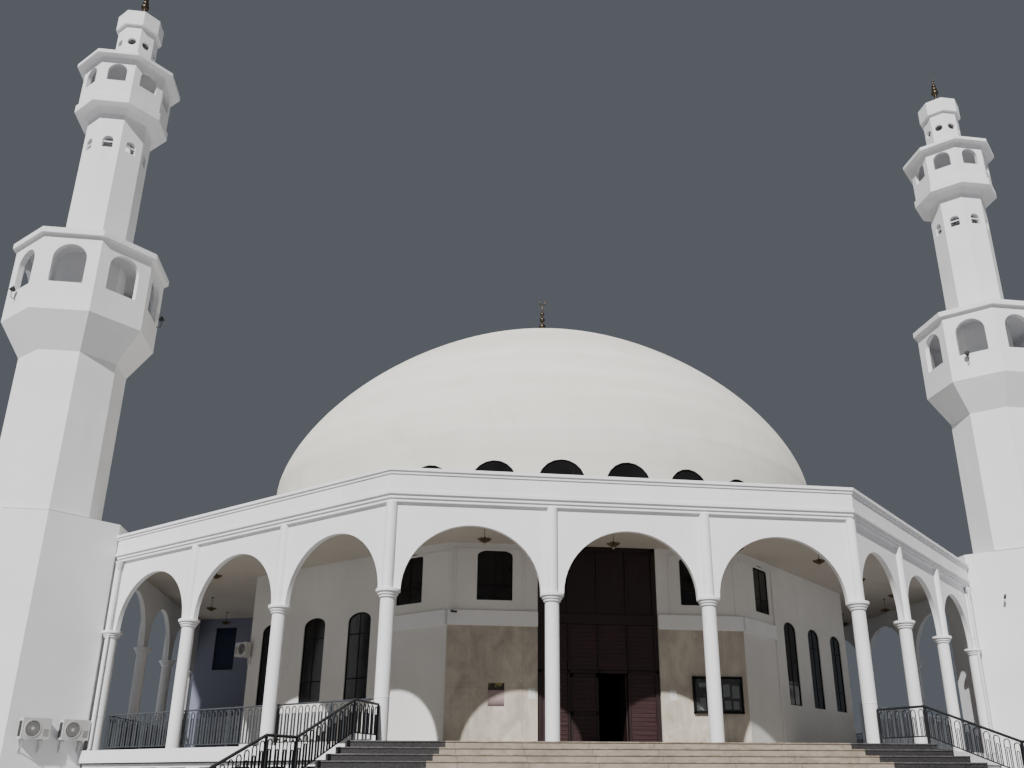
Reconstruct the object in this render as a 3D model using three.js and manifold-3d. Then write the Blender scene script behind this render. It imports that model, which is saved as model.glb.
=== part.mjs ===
// Domed mosque with an eight-sided arcade and two minarets, as a 1:2 scale model.
// The sizes below keep the building's proportions in a drawing metre that is 0.92 of a real
// one, and the group's scale turns them into millimetres of the model. X runs to the right, Y
// to the back and Z up. The origin is on the ground under the centre of the hall, and the
// entrance faces -Y.
import * as THREE from 'three';
import { mergeVertices } from 'three/addons/utils/BufferGeometryUtils.js';
import Module from 'manifold-3d';

const wasm = await Module();
wasm.setup();

// Scale of the model, and the gap between pieces that touch
const REAL_SHARE = 0.92;
const MODEL_RATIO = 2;
const MM_PER_DRAWN_M = (1000 * REAL_SHARE) / MODEL_RATIO;
const GAP = 0.0008;
const FAR = 60;

// Plan: a regular octagon with three bays a side
const SIDES = 8;
const EIGHTH = Math.PI / 4;
const HALF_EIGHTH = Math.PI / 8;
const BAY = 4.75;
const HALF_SIDE = 1.5 * BAY;
const APOTHEM = HALF_SIDE / Math.tan(HALF_EIGHTH);
const INNER_COLUMNS = [-0.5 * BAY, 0.5 * BAY];
const HALF_BAYS = [-2, -1, 0, 1, 2].map((n) => n * 0.5 * BAY);

// Heights above the ground
const FLOOR = 2.82;
const CAPITAL_TOP = 6.97;
const ARCH_RISE = 1.94;
const CORNICE_BOTTOM = 9.53;
const PARAPET_TOP = 10.53;

// Podium and floors
const GROUND_SLAB_THICKNESS = 0.15;
const FLOOR_THICKNESS = 0.41;
const PODIUM_OUTER = APOTHEM + 0.25;
const PODIUM_INNER = PODIUM_OUTER - 0.35;
const FASCIA_OUTSET = 0.36;
const BASEMENT_WINDOW = { pitch: BAY / 3, width: 0.9, sill: 1.35, head: 2.25, perSide: 4 };

// Arcade
const COLUMN_RADIUS = 0.21;
const COLUMN_SIDES = 10;
const CAPITAL_RINGS = [
  { radius: 0.26, drop: 0.24 },
  { radius: 0.3, drop: 0.17 },
  { radius: 0.355, drop: 0.09 },
];
const ARCH_HALF_SPAN = 2.033;
const ARCH_SEGMENTS = 7;
const WINDOW_SEGMENTS = 3;
const ARCADE_THICKNESS = 0.17;
const PILASTER_RADIUS = 0.16;
const PARAPET_INNER = APOTHEM;
const ROOF_THICKNESS = 0.25;

// Railings
const RAIL_HEIGHT = 1.17;
const STAIR_RAIL_HEIGHT = 1.0;
const RAIL_INSET = 0.32;
const RAIL_SECTION = 0.05;

// Hall
const HALL_APOTHEM = 12.5;
const HALL_THICKNESS = 0.3;
const TALL_WINDOW = { width: 1.17, sill: 1.64, head: 4.7, rise: 0.3 };
const UPPER_WINDOW = { width: 1.22, sill: 4.74, head: 6.48, rise: 0.22 };
const TALL_SPOTS = [-3.63, -1.21, 1.21, 3.63];
const OBLIQUE_TALL_SPOTS = [-0.97, 1.43, 3.88];
const OBLIQUE_UPPER_SPOT = -3.37;
const FRONT_UPPER_SPOT = 3.58;
const GLASS_THICKNESS = 0.02;
const CROSS_WALL = { direction: -2.5, near: 13.55, far: 18.17, thickness: 0.2 };
const CROSS_WINDOW = { centre: 16.6, width: 1.17, sill: 6.97, head: 9.06 };

// Entrance
const PORTAL_HALF_WIDTH = 2.1;
const PORTAL_THICKNESS = 0.16;
const DOORWAY_HALF_WIDTH = 0.99;
const DOORWAY_HEIGHT = 2.4;
const LEAF_THICKNESS = 0.05;
const LEAF_CLEARANCE = 0.013;
const HINGE_PIN_RADIUS = 0.011;

// Dome
const DOME_FACETS = 32;
const DOME_RADIUS = 12.66;
const DOME_SPRING = 14.0;
const DOME_RISE = 9.0;
const DOME_ROUNDNESS = 1.24;
const DOME_THICKNESS = 0.25;
const LUNETTE = { radius: 0.87, sill: 11.81 };
const FINIAL_TOP = 25.88;

// Front stair
const RISERS = 17;
const RISER = FLOOR / RISERS;
const TREAD = 0.41;
const STAIR_LANDING_FRONT = APOTHEM + 1.95;
const STAIR_TOP_HALF_WIDTH = 7.95;
const STAIR_SPREAD = 0.49;
const UPPER_TREADS = 5;
const MID_LANDING_DEPTH = 1.45;
const LOWER_TREADS = 10;

// Minarets, with their axis, apothems and heights
const MINARET_X = 20.37;
const MINARET_Y = -7.07;
const MINARET_BASE_APOTHEM = 2.0;
const BASE_CLEARANCE = 0.28;
const BASE_TOP = 11.0;
const BASE_WALL = 0.3;
const LOWER_SHAFT_APOTHEM = 1.85;
const LOWER_FLARE_START = 17.38;
const LOWER_GALLERY_FLOOR = 18.77;
const LOWER_GALLERY_APOTHEM = 2.65;
const LOWER_GALLERY_TOP = 22.05;
const LOWER_ARCH = { width: 1.27, sill: 19.96, head: 21.66 };
const UPPER_SHAFT_APOTHEM = 1.23;
const UPPER_COVE_START = 29.1;
const UPPER_SLAB = { coveTop: 1.43, edge: 1.8, underside: 29.35 };
const SHAFT_ARCH = { width: 0.44, sill: 27.37, head: 27.95 };
const UPPER_GALLERY_FLOOR = 29.72;
const UPPER_GALLERY_APOTHEM = 1.72;
const UPPER_GALLERY_TOP = 31.75;
const UPPER_ARCH = { width: 0.8, sill: 30.55, head: 31.45 };
const LANTERN_APOTHEM = 0.8;
const LANTERN_FOOT = UPPER_GALLERY_TOP + 0.3;
const LANTERN_HOLE = { radius: 0.19, centre: 33.55 };
const LANTERN_CAP_APOTHEM = 0.93;
const LANTERN_CAP_BOTTOM = 34.45;
const LANTERN_CAP_TOP = 35.44;
const MINARET_TOP = 37.3;

// Finishes
const plaster = new THREE.MeshStandardMaterial({ color: 0xe9e9ec, roughness: 0.85 });
const domePlaster = new THREE.MeshStandardMaterial({ color: 0xd9d3c2, roughness: 0.9 });
const concrete = new THREE.MeshStandardMaterial({ color: 0xb9b8b4, roughness: 0.9 });
const stone = new THREE.MeshStandardMaterial({ color: 0xa3927c, roughness: 0.7 });
const iron = new THREE.MeshStandardMaterial({ color: 0x2c2f33, roughness: 0.5, metalness: 0.6 });
const bronze = new THREE.MeshStandardMaterial({ color: 0x4c463c, roughness: 0.4, metalness: 0.8 });
const timber = new THREE.MeshStandardMaterial({ color: 0x3b1d17, roughness: 0.6 });
const glass = new THREE.MeshStandardMaterial({ color: 0x1d2530, roughness: 0.15, metalness: 0.1 });

const building = new THREE.Group();

// Turns a closed geometry into a solid that can be cut and joined.
function solid(geometry) {
  const bare = geometry.index ? geometry.toNonIndexed() : geometry;
  bare.deleteAttribute('normal');
  bare.deleteAttribute('uv');
  const merged = mergeVertices(bare, 1e-5);
  const vertProperties = new Float32Array(merged.attributes.position.array);
  const triVerts = new Uint32Array(merged.index.array);
  const made = new wasm.Manifold(new wasm.Mesh({ numProp: 3, vertProperties, triVerts }));
  if (made.volume() > 0) return made;
  const flipped = triVerts.map((v, i) => triVerts[i - (i % 3) + 2 - (i % 3)]);
  return new wasm.Manifold(new wasm.Mesh({ numProp: 3, vertProperties, triVerts: flipped }));
}

const join = (parts) => parts.reduce((whole, part) => whole.add(part));
const cut = (body, holes) => holes.reduce((rest, hole) => rest.subtract(hole), body);

function box(x0, x1, y0, y1, z0, z1) {
  const geometry = new THREE.BoxGeometry(x1 - x0, y1 - y0, z1 - z0);
  geometry.translate((x0 + x1) / 2, (y0 + y1) / 2, (z0 + z1) / 2);
  return solid(geometry);
}

// A prism standing on the plan outline.
function prism(points, z0, z1) {
  const shape = new THREE.Shape(points.map(([x, y]) => new THREE.Vector2(x, y)));
  const geometry = new THREE.ExtrudeGeometry(shape, { depth: z1 - z0, bevelEnabled: false });
  return solid(geometry.translate(0, 0, z0));
}

// A slab drawn in elevation, x to the right and z up, whose outer face is at y = -outer.
function elevation(shape, outer, thickness, curveSegments = WINDOW_SEGMENTS) {
  const settings = { depth: thickness, bevelEnabled: false, curveSegments };
  const geometry = new THREE.ExtrudeGeometry(shape, settings);
  geometry.rotateX(Math.PI / 2);
  return solid(geometry.translate(0, thickness - outer, 0));
}

// A body of revolution: the profile holds [radius, height] points and closes on itself.
function lathe(profile, sides, start = 0) {
  const points = [...profile, profile[0]].map(([r, z]) => new THREE.Vector2(r, z));
  const geometry = new THREE.LatheGeometry(points, sides, start, 2 * Math.PI);
  return solid(geometry.rotateX(Math.PI / 2));
}

// A body on the octagonal plan: the profile holds [apothem, height] points.
function octagonal(profile) {
  const cornerProfile = profile.map(([a, z]) => [a / Math.cos(HALF_EIGHTH), z]);
  return lathe(cornerProfile, SIDES, HALF_EIGHTH);
}

function cylinder(radius, sides, x, y, z0, z1) {
  const geometry = new THREE.CylinderGeometry(radius, radius, z1 - z0, sides);
  geometry.rotateX(Math.PI / 2);
  return solid(geometry.translate(x, y, (z0 + z1) / 2));
}

// A straight bar of square section between two points.
function bar(from, to, section) {
  const a = new THREE.Vector3(...from);
  const b = new THREE.Vector3(...to);
  const geometry = new THREE.BoxGeometry(section, section, a.distanceTo(b));
  const turn = new THREE.Matrix4().lookAt(b, a, new THREE.Vector3(0, 0, 1));
  if (Math.abs(b.z - a.z) > 0.99 * a.distanceTo(b)) turn.identity();
  geometry.applyMatrix4(turn);
  const middle = a.add(b).multiplyScalar(0.5);
  return solid(geometry.translate(middle.x, middle.y, middle.z));
}

const turned = (body, face) => body.rotate([0, 0, (face * EIGHTH * 180) / Math.PI]);
const cornerAt = (apothem) => apothem * Math.tan(HALF_EIGHTH);

// The wedge of plan that belongs to one face, with a gap along both mitres.
function sector() {
  const back = GAP / 2 / Math.sin(HALF_EIGHTH);
  const half = Math.tan(HALF_EIGHTH) * (FAR - back);
  return prism([[0, -back], [-half, -FAR], [half, -FAR]], -1, FAR);
}

function piece(name, body, material, x = 0, y = 0) {
  const made = body.getMesh();
  const geometry = new THREE.BufferGeometry();
  geometry.setAttribute('position', new THREE.BufferAttribute(made.vertProperties, 3));
  geometry.setIndex(new THREE.BufferAttribute(made.triVerts, 1));
  geometry.computeVertexNormals();
  const mesh = new THREE.Mesh(geometry, material);
  mesh.name = name;
  mesh.position.set(x, y, 0);
  building.add(mesh);
}

// An opening with an arched head: rise equals half the width for a half circle.
function archedOutline(x, sill, head, width, rise) {
  const shape = new THREE.Shape();
  const half = width / 2;
  shape.moveTo(x - half, sill);
  shape.lineTo(x + half, sill);
  shape.lineTo(x + half, head - rise);
  shape.absellipse(x, head - rise, half, rise, 0, Math.PI, false, 0);
  return shape;
}

// A sheet of glass that runs round the octagon behind a row of windows
function glassRing(outer, low, high) {
  const inner = outer - GLASS_THICKNESS;
  return octagonal([[inner, low], [outer, low], [outer, high], [inner, high]]);
}

// Podium: the ground floor slab, the wall with its small windows, and the main floor
function podium() {
  const rim = PODIUM_INNER - GAP;
  const slab = octagonal([[0, 0], [rim, 0], [rim, GROUND_SLAB_THICKNESS], [0, GROUND_SLAB_THICKNESS]]);
  piece('ground_slab', slab, concrete);

  const top = FLOOR - FLOOR_THICKNESS - GAP;
  const wall = octagonal([[PODIUM_INNER, 0], [PODIUM_OUTER, 0], [PODIUM_OUTER, top], [PODIUM_INNER, top]]);
  const holes = [];
  for (const face of [-3, -2, -1, 1, 2, 3, 4]) {
    for (let n = -BASEMENT_WINDOW.perSide; n <= BASEMENT_WINDOW.perSide; n += 1) {
      const behindMinaret = (face === -2 && n === 4) || (face === 2 && n === -4);
      if (behindMinaret) continue;
      const x = n * BASEMENT_WINDOW.pitch;
      const half = BASEMENT_WINDOW.width / 2;
      const hole = box(x - half, x + half, -PODIUM_OUTER - 0.1, -PODIUM_INNER + 0.1,
        BASEMENT_WINDOW.sill, BASEMENT_WINDOW.head);
      holes.push(turned(hole, face));
    }
  }
  piece('podium_wall', cut(wall, holes), plaster);
  const low = BASEMENT_WINDOW.sill - 0.1;
  const high = BASEMENT_WINDOW.head + 0.1;
  piece('basement_window_glass', glassRing(PODIUM_INNER - GAP, low, high), glass);

  const edge = APOTHEM + FASCIA_OUTSET;
  const underside = FLOOR - FLOOR_THICKNESS;
  const floor = octagonal([[0, underside], [edge, underside], [edge, FLOOR], [0, FLOOR]]);
  piece('main_floor', floor, concrete);
}

// Front stair: a top landing, two flights that widen downwards and a landing between them
function stairWidth(front) {
  return STAIR_TOP_HALF_WIDTH + STAIR_SPREAD * (front - STAIR_LANDING_FRONT);
}

function stair() {
  const edge = APOTHEM + FASCIA_OUTSET + GAP;
  const corner = cornerAt(edge);
  const wing = STAIR_TOP_HALF_WIDTH;
  const wingBack = edge * Math.SQRT2 - wing;
  const outline = [
    [-wing, -STAIR_LANDING_FRONT], [wing, -STAIR_LANDING_FRONT], [wing, -wingBack],
    [corner, -edge], [-corner, -edge], [-wing, -wingBack],
  ];
  const upper = [prism(outline, 0, FLOOR)];
  let front = STAIR_LANDING_FRONT;
  let level = FLOOR;
  for (let n = 0; n < UPPER_TREADS; n += 1) {
    front += TREAD;
    level -= RISER;
    const half = stairWidth(front);
    upper.push(box(-half, half, -front, -edge - 0.2, 0, level));
  }
  piece('stair_upper_flight', join(upper), stone);

  const back = front + GAP;
  front += MID_LANDING_DEPTH;
  level -= RISER;
  const lower = [box(-stairWidth(front), stairWidth(front), -front, -back, 0, level)];
  for (let n = 0; n < LOWER_TREADS; n += 1) {
    front += TREAD;
    level -= RISER;
    const half = stairWidth(front);
    lower.push(box(-half, half, -front, -back, 0, level));
  }
  piece('stair_lower_flight', join(lower), stone);
}

// One stair railing: rails that follow the flights, and posts at each bend
function stairRailing(side) {
  const upperFoot = STAIR_LANDING_FRONT + UPPER_TREADS * TREAD;
  const landingFront = upperFoot + MID_LANDING_DEPTH;
  const foot = landingFront + LOWER_TREADS * TREAD;
  const landing = FLOOR - (UPPER_TREADS + 1) * RISER;
  const line = (y, z) => [side * (stairWidth(y) - 0.12), -y, z];
  const stops = [
    [side * (HALF_SIDE + 0.08), -APOTHEM - COLUMN_RADIUS - 0.05, FLOOR],
    line(STAIR_LANDING_FRONT - 0.1, FLOOR),
    line(upperFoot + 0.2, landing),
    line(landingFront - 0.15, landing),
    line(foot - 0.2, RISER),
  ];
  const parts = [];
  const lifted = ([x, y, z], h) => [x, y, z + h];
  stops.forEach((stop, n) => {
    parts.push(bar(lifted(stop, GAP), lifted(stop, STAIR_RAIL_HEIGHT - 0.01), RAIL_SECTION));
    if (n === 0) return;
    const last = stops[n - 1];
    parts.push(bar(lifted(last, STAIR_RAIL_HEIGHT), lifted(stop, STAIR_RAIL_HEIGHT), RAIL_SECTION));
    parts.push(bar(lifted(last, 0.2), lifted(stop, 0.2), 0.03));
  });
  return join(parts);
}

// A plain round column whose capital is three stacked rings, each wider than the one below
function column(x, y) {
  const profile = [[0, FLOOR + GAP], [COLUMN_RADIUS, FLOOR + GAP]];
  let radius = COLUMN_RADIUS;
  for (const ring of CAPITAL_RINGS) {
    profile.push([radius, CAPITAL_TOP - ring.drop], [ring.radius, CAPITAL_TOP - ring.drop]);
    radius = ring.radius;
  }
  profile.push([radius, CAPITAL_TOP], [0, CAPITAL_TOP]);
  return lathe(profile, COLUMN_SIDES, Math.PI / COLUMN_SIDES).translate([x, y, 0]);
}

// The wall over one face: three arches, with half-round pilasters over the columns
function arcadeWall() {
  const reach = HALF_SIDE + 0.3;
  const bottom = CAPITAL_TOP + GAP;
  const shape = new THREE.Shape();
  shape.moveTo(-reach, bottom);
  for (const centre of [-BAY, 0, BAY]) {
    shape.lineTo(centre - ARCH_HALF_SPAN, bottom);
    shape.absellipse(centre, bottom, ARCH_HALF_SPAN, ARCH_RISE, Math.PI, 0, true, 0);
  }
  shape.lineTo(reach, bottom);
  shape.lineTo(reach, CORNICE_BOTTOM);
  shape.lineTo(-reach, CORNICE_BOTTOM);
  const face = APOTHEM + ARCADE_THICKNESS / 2;
  const wall = elevation(shape, face, ARCADE_THICKNESS, ARCH_SEGMENTS);
  const corner = cornerAt(face);
  const pilasters = [-corner, ...INNER_COLUMNS, corner].map((x) => (
    cylinder(PILASTER_RADIUS, 8, x, -face, bottom, CORNICE_BOTTOM)));
  return join([wall, ...pilasters]).intersect(sector());
}

function arcade() {
  piece('arcade_front', arcadeFace([-HALF_SIDE, ...INNER_COLUMNS, HALF_SIDE], 0), plaster);

  const names = { 1: 'front', 2: 'side', 3: 'rear' };
  for (const side of [-1, 1]) {
    for (const step of [1, 2, 3]) {
      const spots = [...INNER_COLUMNS, side * HALF_SIDE];
      const name = `arcade_${side < 0 ? 'left' : 'right'}_${names[step]}`;
      const body = arcadeFace(spots, step === 1 ? side : 0);
      piece(name, turned(body, side * step), plaster);
    }
  }
  piece('arcade_back', turned(arcadeFace(INNER_COLUMNS, 0), 4), plaster);
}

// A face with its own columns, each joined to the wall by a short neck inside its capital
function arcadeFace(spots, pierSide) {
  const parts = [arcadeWall()];
  for (const x of spots) {
    const neck = Math.abs(x) < HALF_SIDE ? x : x - Math.sign(x) * 0.15;
    parts.push(column(x, -APOTHEM));
    parts.push(box(neck - 0.05, neck + 0.05, -APOTHEM - 0.05, -APOTHEM + 0.05,
      CAPITAL_TOP - 0.05, CAPITAL_TOP + 0.05));
  }
  if (pierSide !== 0) parts.push(endPier(pierSide));
  return join(parts);
}

// The narrow pier that closes the arcade against the side of the minaret's base
function endPier(side) {
  const near = side * HALF_SIDE;
  const far = side * (HALF_SIDE + BASE_CLEARANCE - GAP);
  const half = ARCADE_THICKNESS / 2;
  return box(Math.min(near, far), Math.max(near, far), -APOTHEM - half, -APOTHEM + half,
    FLOOR + GAP, CAPITAL_TOP);
}

// Cornice of three steps, parapet and cap in one ring, and the flat roof inside it
function parapetAndRoof() {
  const base = CORNICE_BOTTOM + GAP;
  const profile = [
    [PARAPET_INNER, base], [APOTHEM + 0.19, base], [APOTHEM + 0.19, base + 0.1],
    [APOTHEM + 0.24, base + 0.1], [APOTHEM + 0.24, base + 0.21], [APOTHEM + 0.3, base + 0.21],
    [APOTHEM + 0.3, base + 0.31], [APOTHEM + 0.27, base + 0.32], [APOTHEM + 0.27, PARAPET_TOP - 0.18],
    [APOTHEM + 0.31, PARAPET_TOP - 0.18], [APOTHEM + 0.31, PARAPET_TOP - 0.09],
    [APOTHEM + 0.36, PARAPET_TOP - 0.09], [APOTHEM + 0.36, PARAPET_TOP], [PARAPET_INNER, PARAPET_TOP],
  ];
  piece('cornice_and_parapet', octagonal(profile), plaster);

  const edge = PARAPET_INNER - GAP;
  const top = base + ROOF_THICKNESS;
  const disc = octagonal([[0, base], [edge, base], [edge, top], [0, top]]);
  const well = cylinder(DOME_RADIUS - DOME_THICKNESS, DOME_FACETS, 0, 0, base - 1, top + 1);
  piece('gallery_roof', disc.subtract(well), concrete);
}

// Gallery railings run just inside the columns, with a post at each half bay.
function railRun(reach, posts) {
  const line = APOTHEM - RAIL_INSET;
  const top = FLOOR + RAIL_HEIGHT;
  const post = (x) => box(x - 0.02, x + 0.02, -line - 0.02, -line + 0.02, FLOOR + GAP, top + 0.02);
  const parts = posts.map(post);
  parts.push(box(-reach, reach, -line - 0.025, -line + 0.025, top, top + 0.05));
  parts.push(box(-reach, reach, -line - 0.015, -line + 0.015, FLOOR + 0.1, FLOOR + 0.13));
  return join(parts);
}

// The side railings follow three faces and turn at square corner posts.
function sideRailing(side) {
  const line = APOTHEM - RAIL_INSET;
  const out = line / Math.cos(HALF_EIGHTH);
  const post = box(-0.03, 0.03, -out - 0.03, -out + 0.03, FLOOR + GAP, FLOOR + RAIL_HEIGHT + 0.06);
  const run = railRun(cornerAt(line), HALF_BAYS);
  const parts = [1, 2, 3].map((step) => turned(run, side * step));
  for (const step of [0.5, 1.5, 2.5, 3.5]) parts.push(turned(post, side * step));
  return join(parts);
}

// The back railing stops short of its neighbours at both corners.
function backRailing() {
  const reach = cornerAt(APOTHEM - RAIL_INSET) - 0.15;
  return turned(railRun(reach, [0.04 - reach, ...HALF_BAYS, reach - 0.04]), 4);
}

function railings() {
  piece('stair_railing_left', stairRailing(-1), iron);
  piece('stair_railing_right', stairRailing(1), iron);
  piece('gallery_railing_left', sideRailing(-1), iron);
  piece('gallery_railing_right', sideRailing(1), iron);
  piece('gallery_railing_back', backRailing(), iron);
}

// Hall walls: windows at tall positions and, where given, at upper ones
function hallWall(tall, upper, x0, x1) {
  const back = HALL_THICKNESS - HALL_APOTHEM;
  const wall = box(x0, x1, -HALL_APOTHEM, back, FLOOR + GAP, CORNICE_BOTTOM).intersect(sector());
  const window = (x, { width, sill, head, rise }) => {
    const shape = archedOutline(x, FLOOR + sill, FLOOR + head, width, rise);
    return elevation(shape, HALL_APOTHEM + 0.1, HALL_THICKNESS + 0.2);
  };
  const holes = tall.map((x) => window(x, TALL_WINDOW)).concat(upper.map((x) => window(x, UPPER_WINDOW)));
  return cut(wall, holes);
}

function hall() {
  const reach = cornerAt(HALL_APOTHEM) + 0.2;
  const jamb = PORTAL_HALF_WIDTH;
  piece('hall_wall_front_left', hallWall([], [-FRONT_UPPER_SPOT], -reach, -jamb), plaster);
  piece('hall_wall_front_right', hallWall([], [FRONT_UPPER_SPOT], jamb, reach), plaster);
  const oblique = (side) => {
    const tall = OBLIQUE_TALL_SPOTS.map((x) => side * x);
    return turned(hallWall(tall, [side * OBLIQUE_UPPER_SPOT], -reach, reach), side);
  };
  piece('hall_wall_left_front', oblique(-1), plaster);
  piece('hall_wall_right_front', oblique(1), plaster);
  const plain = () => hallWall(TALL_SPOTS, [], -reach, reach);
  piece('hall_wall_left_side', turned(plain(), -2), plaster);
  piece('hall_wall_left_rear', turned(plain(), -3), plaster);
  piece('hall_wall_back', turned(plain(), 4), plaster);
  piece('hall_wall_right_rear', turned(plain(), 3), plaster);
  piece('hall_wall_right_side', turned(plain(), 2), plaster);

  const low = FLOOR + TALL_WINDOW.sill - 0.1;
  const high = FLOOR + UPPER_WINDOW.head + 0.1;
  const sheet = glassRing(HALL_APOTHEM - HALL_THICKNESS - GAP, low, high);
  const entrance = PORTAL_HALF_WIDTH + 0.1;
  const way = box(-entrance, entrance, -HALL_APOTHEM, 0, 0, FAR);
  piece('hall_window_glass', sheet.subtract(way), glass);
}

// The wall that closes the left gallery, running outwards from the hall's rear left corner
function crossWall() {
  const { direction, near, far } = CROSS_WALL;
  const thick = CROSS_WALL.thickness / 2;
  const outer = CROSS_WINDOW.centre + CROSS_WINDOW.width / 2;
  const inner = CROSS_WINDOW.centre - CROSS_WINDOW.width / 2;
  const wall = box(-thick, thick, -far, -near, FLOOR + GAP, CORNICE_BOTTOM);
  const hole = box(-1, 1, -outer, -inner, CROSS_WINDOW.sill, CROSS_WINDOW.head);
  const pane = box(-GLASS_THICKNESS / 2, GLASS_THICKNESS / 2, -outer + GAP, -inner - GAP,
    CROSS_WINDOW.sill + GAP, CROSS_WINDOW.head - GAP);
  piece('gallery_cross_wall', turned(wall.subtract(hole), direction), plaster);
  piece('cross_wall_glass', turned(pane, direction), glass);
}

// Entrance: a timber screen over the full height with a pair of leaves in its doorway
function doorLeaf(side) {
  const hinge = DOORWAY_HALF_WIDTH - LEAF_CLEARANCE;
  const bottom = FLOOR + LEAF_CLEARANCE;
  const top = FLOOR + DOORWAY_HEIGHT - LEAF_CLEARANCE;
  const edge = LEAF_CLEARANCE / 2;
  const panel = box(edge, hinge, -LEAF_THICKNESS, 0, bottom, top);
  const pin = cylinder(HINGE_PIN_RADIUS, 8, hinge, 0, FLOOR + GAP, FLOOR + DOORWAY_HEIGHT - GAP);
  const leaf = panel.add(pin).translate([-hinge, 0, 0]);
  return side > 0 ? leaf : leaf.mirror([1, 0, 0]);
}

function entrance() {
  const outer = HALL_APOTHEM - 0.05;
  const half = PORTAL_HALF_WIDTH - GAP;
  const top = CORNICE_BOTTOM;
  const bottom = FLOOR + GAP;
  const door = DOORWAY_HALF_WIDTH;
  const outline = [
    [-half, bottom], [-door, bottom], [-door, FLOOR + DOORWAY_HEIGHT], [door, FLOOR + DOORWAY_HEIGHT],
    [door, bottom], [half, bottom], [half, top], [-half, top],
  ];
  const shape = new THREE.Shape(outline.map(([x, z]) => new THREE.Vector2(x, z)));
  piece('door_screen', elevation(shape, outer, PORTAL_THICKNESS), timber);

  const hinge = DOORWAY_HALF_WIDTH - LEAF_CLEARANCE;
  const hingeY = -(outer - PORTAL_THICKNESS) - 0.02;
  const openLeaf = doorLeaf(1).rotate([0, 0, -90]);
  piece('door_leaf_left', doorLeaf(-1), timber, -hinge, hingeY);
  piece('door_leaf_right', openLeaf, timber, hinge, hingeY);
}

// Dome: [radius, height] points from the springing to the crown
function domeCurve(radius, rise, steps) {
  const points = [];
  for (let n = 0; n <= steps; n += 1) {
    const angle = (n / steps) * (Math.PI / 2);
    const r = n === steps ? 0 : radius * Math.cos(angle) ** DOME_ROUNDNESS;
    points.push([r, DOME_SPRING + rise * Math.sin(angle) ** DOME_ROUNDNESS]);
  }
  return points;
}

function dome() {
  const foot = CORNICE_BOTTOM + GAP + ROOF_THICKNESS + GAP;
  const inner = DOME_RADIUS - DOME_THICKNESS;
  const outside = domeCurve(DOME_RADIUS, DOME_RISE, 8);
  const inside = domeCurve(inner, DOME_RISE - DOME_THICKNESS, 5).reverse();
  const shell = lathe([[DOME_RADIUS, foot], ...outside, ...inside, [inner, foot]], DOME_FACETS);
  const head = LUNETTE.sill + LUNETTE.radius;
  const arch = archedOutline(0, LUNETTE.sill, head, 2 * LUNETTE.radius, LUNETTE.radius);
  const hole = elevation(arch, DOME_RADIUS + 0.8, 1.5);
  const pitch = 360 / DOME_FACETS;
  const holes = [];
  for (let n = 0; n < DOME_FACETS; n += 1) holes.push(hole.rotate([0, 0, (n + 0.5) * pitch]));
  piece('dome', shell.subtract(join(holes)), domePlaster);

  const outer = inner - 1.1 * GAP;
  const low = LUNETTE.sill - 0.1;
  const high = LUNETTE.sill + LUNETTE.radius + 0.1;
  const thin = outer - GLASS_THICKNESS;
  const glazing = lathe([[thin, low], [outer, low], [outer, high], [thin, high]], DOME_FACETS);
  piece('dome_window_glass', glazing, glass);
}

// Finial: a rod with three balls and a crescent on top
function finial(foot, top) {
  const height = top - foot;
  const ball = (share, radius) => {
    const geometry = new THREE.SphereGeometry(radius, 8, 6).rotateX(Math.PI / 2);
    return solid(geometry.translate(0, 0, foot + share * height));
  };
  const moonRadius = 0.065 * height;
  const disc = (radius, thickness, z) => (
    solid(new THREE.CylinderGeometry(radius, radius, thickness, 16).translate(0, 0, z)));
  const moonCentre = top - moonRadius;
  const moon = disc(moonRadius, 0.04, moonCentre)
    .subtract(disc(0.78 * moonRadius, 0.2, moonCentre + 0.35 * moonRadius));
  const rod = cylinder(0.04, 8, 0, 0, foot + GAP, top - 1.8 * moonRadius);
  return join([rod, ball(0.42, 0.18), ball(0.56, 0.14), ball(0.68, 0.11), moon]);
}

// Minaret pieces stand around their own axis; side is -1 on the left and 1 on the right.
function minaretBase(side) {
  const a = MINARET_BASE_APOTHEM;
  const k = cornerAt(a);
  const inner = MINARET_X - (APOTHEM + FASCIA_OUTSET + GAP);
  const outline = [
    [-k, -a], [k, -a], [inner, -a + inner - k], [inner, a], [-k, a], [-a, k], [-a, -k],
  ];
  const hollow = octagonal([
    [0, -1], [a - BASE_WALL, -1], [a - BASE_WALL, BASE_TOP - BASE_WALL], [0, BASE_TOP - BASE_WALL],
  ]);
  const shaftInner = LOWER_SHAFT_APOTHEM - 0.25;
  const well = octagonal([[0, 0], [shaftInner, 0], [shaftInner, FAR], [0, FAR]]);
  const body = prism(outline, 0, BASE_TOP).subtract(hollow).subtract(well);
  return side < 0 ? body : body.mirror([1, 0, 0]);
}

function lowerShaft() {
  const a = LOWER_SHAFT_APOTHEM;
  return octagonal([
    [a - 0.25, BASE_TOP + GAP], [a, BASE_TOP + GAP], [a, LOWER_FLARE_START],
    [LOWER_GALLERY_APOTHEM, LOWER_GALLERY_FLOOR], [UPPER_SHAFT_APOTHEM - 0.2, LOWER_GALLERY_FLOOR],
    [UPPER_SHAFT_APOTHEM - 0.2, LOWER_GALLERY_FLOOR - 0.25], [a - 0.25, LOWER_FLARE_START - 0.1],
  ]);
}

// A ring of eight arched openings, one a face, for a minaret gallery
function archRing(apothem, { width, sill, head }) {
  const shape = archedOutline(0, sill, head, width, width / 2);
  const hole = elevation(shape, apothem + 0.6, 1.2);
  const holes = [];
  for (let face = 0; face < SIDES; face += 1) holes.push(turned(hole, face));
  return join(holes);
}

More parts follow.
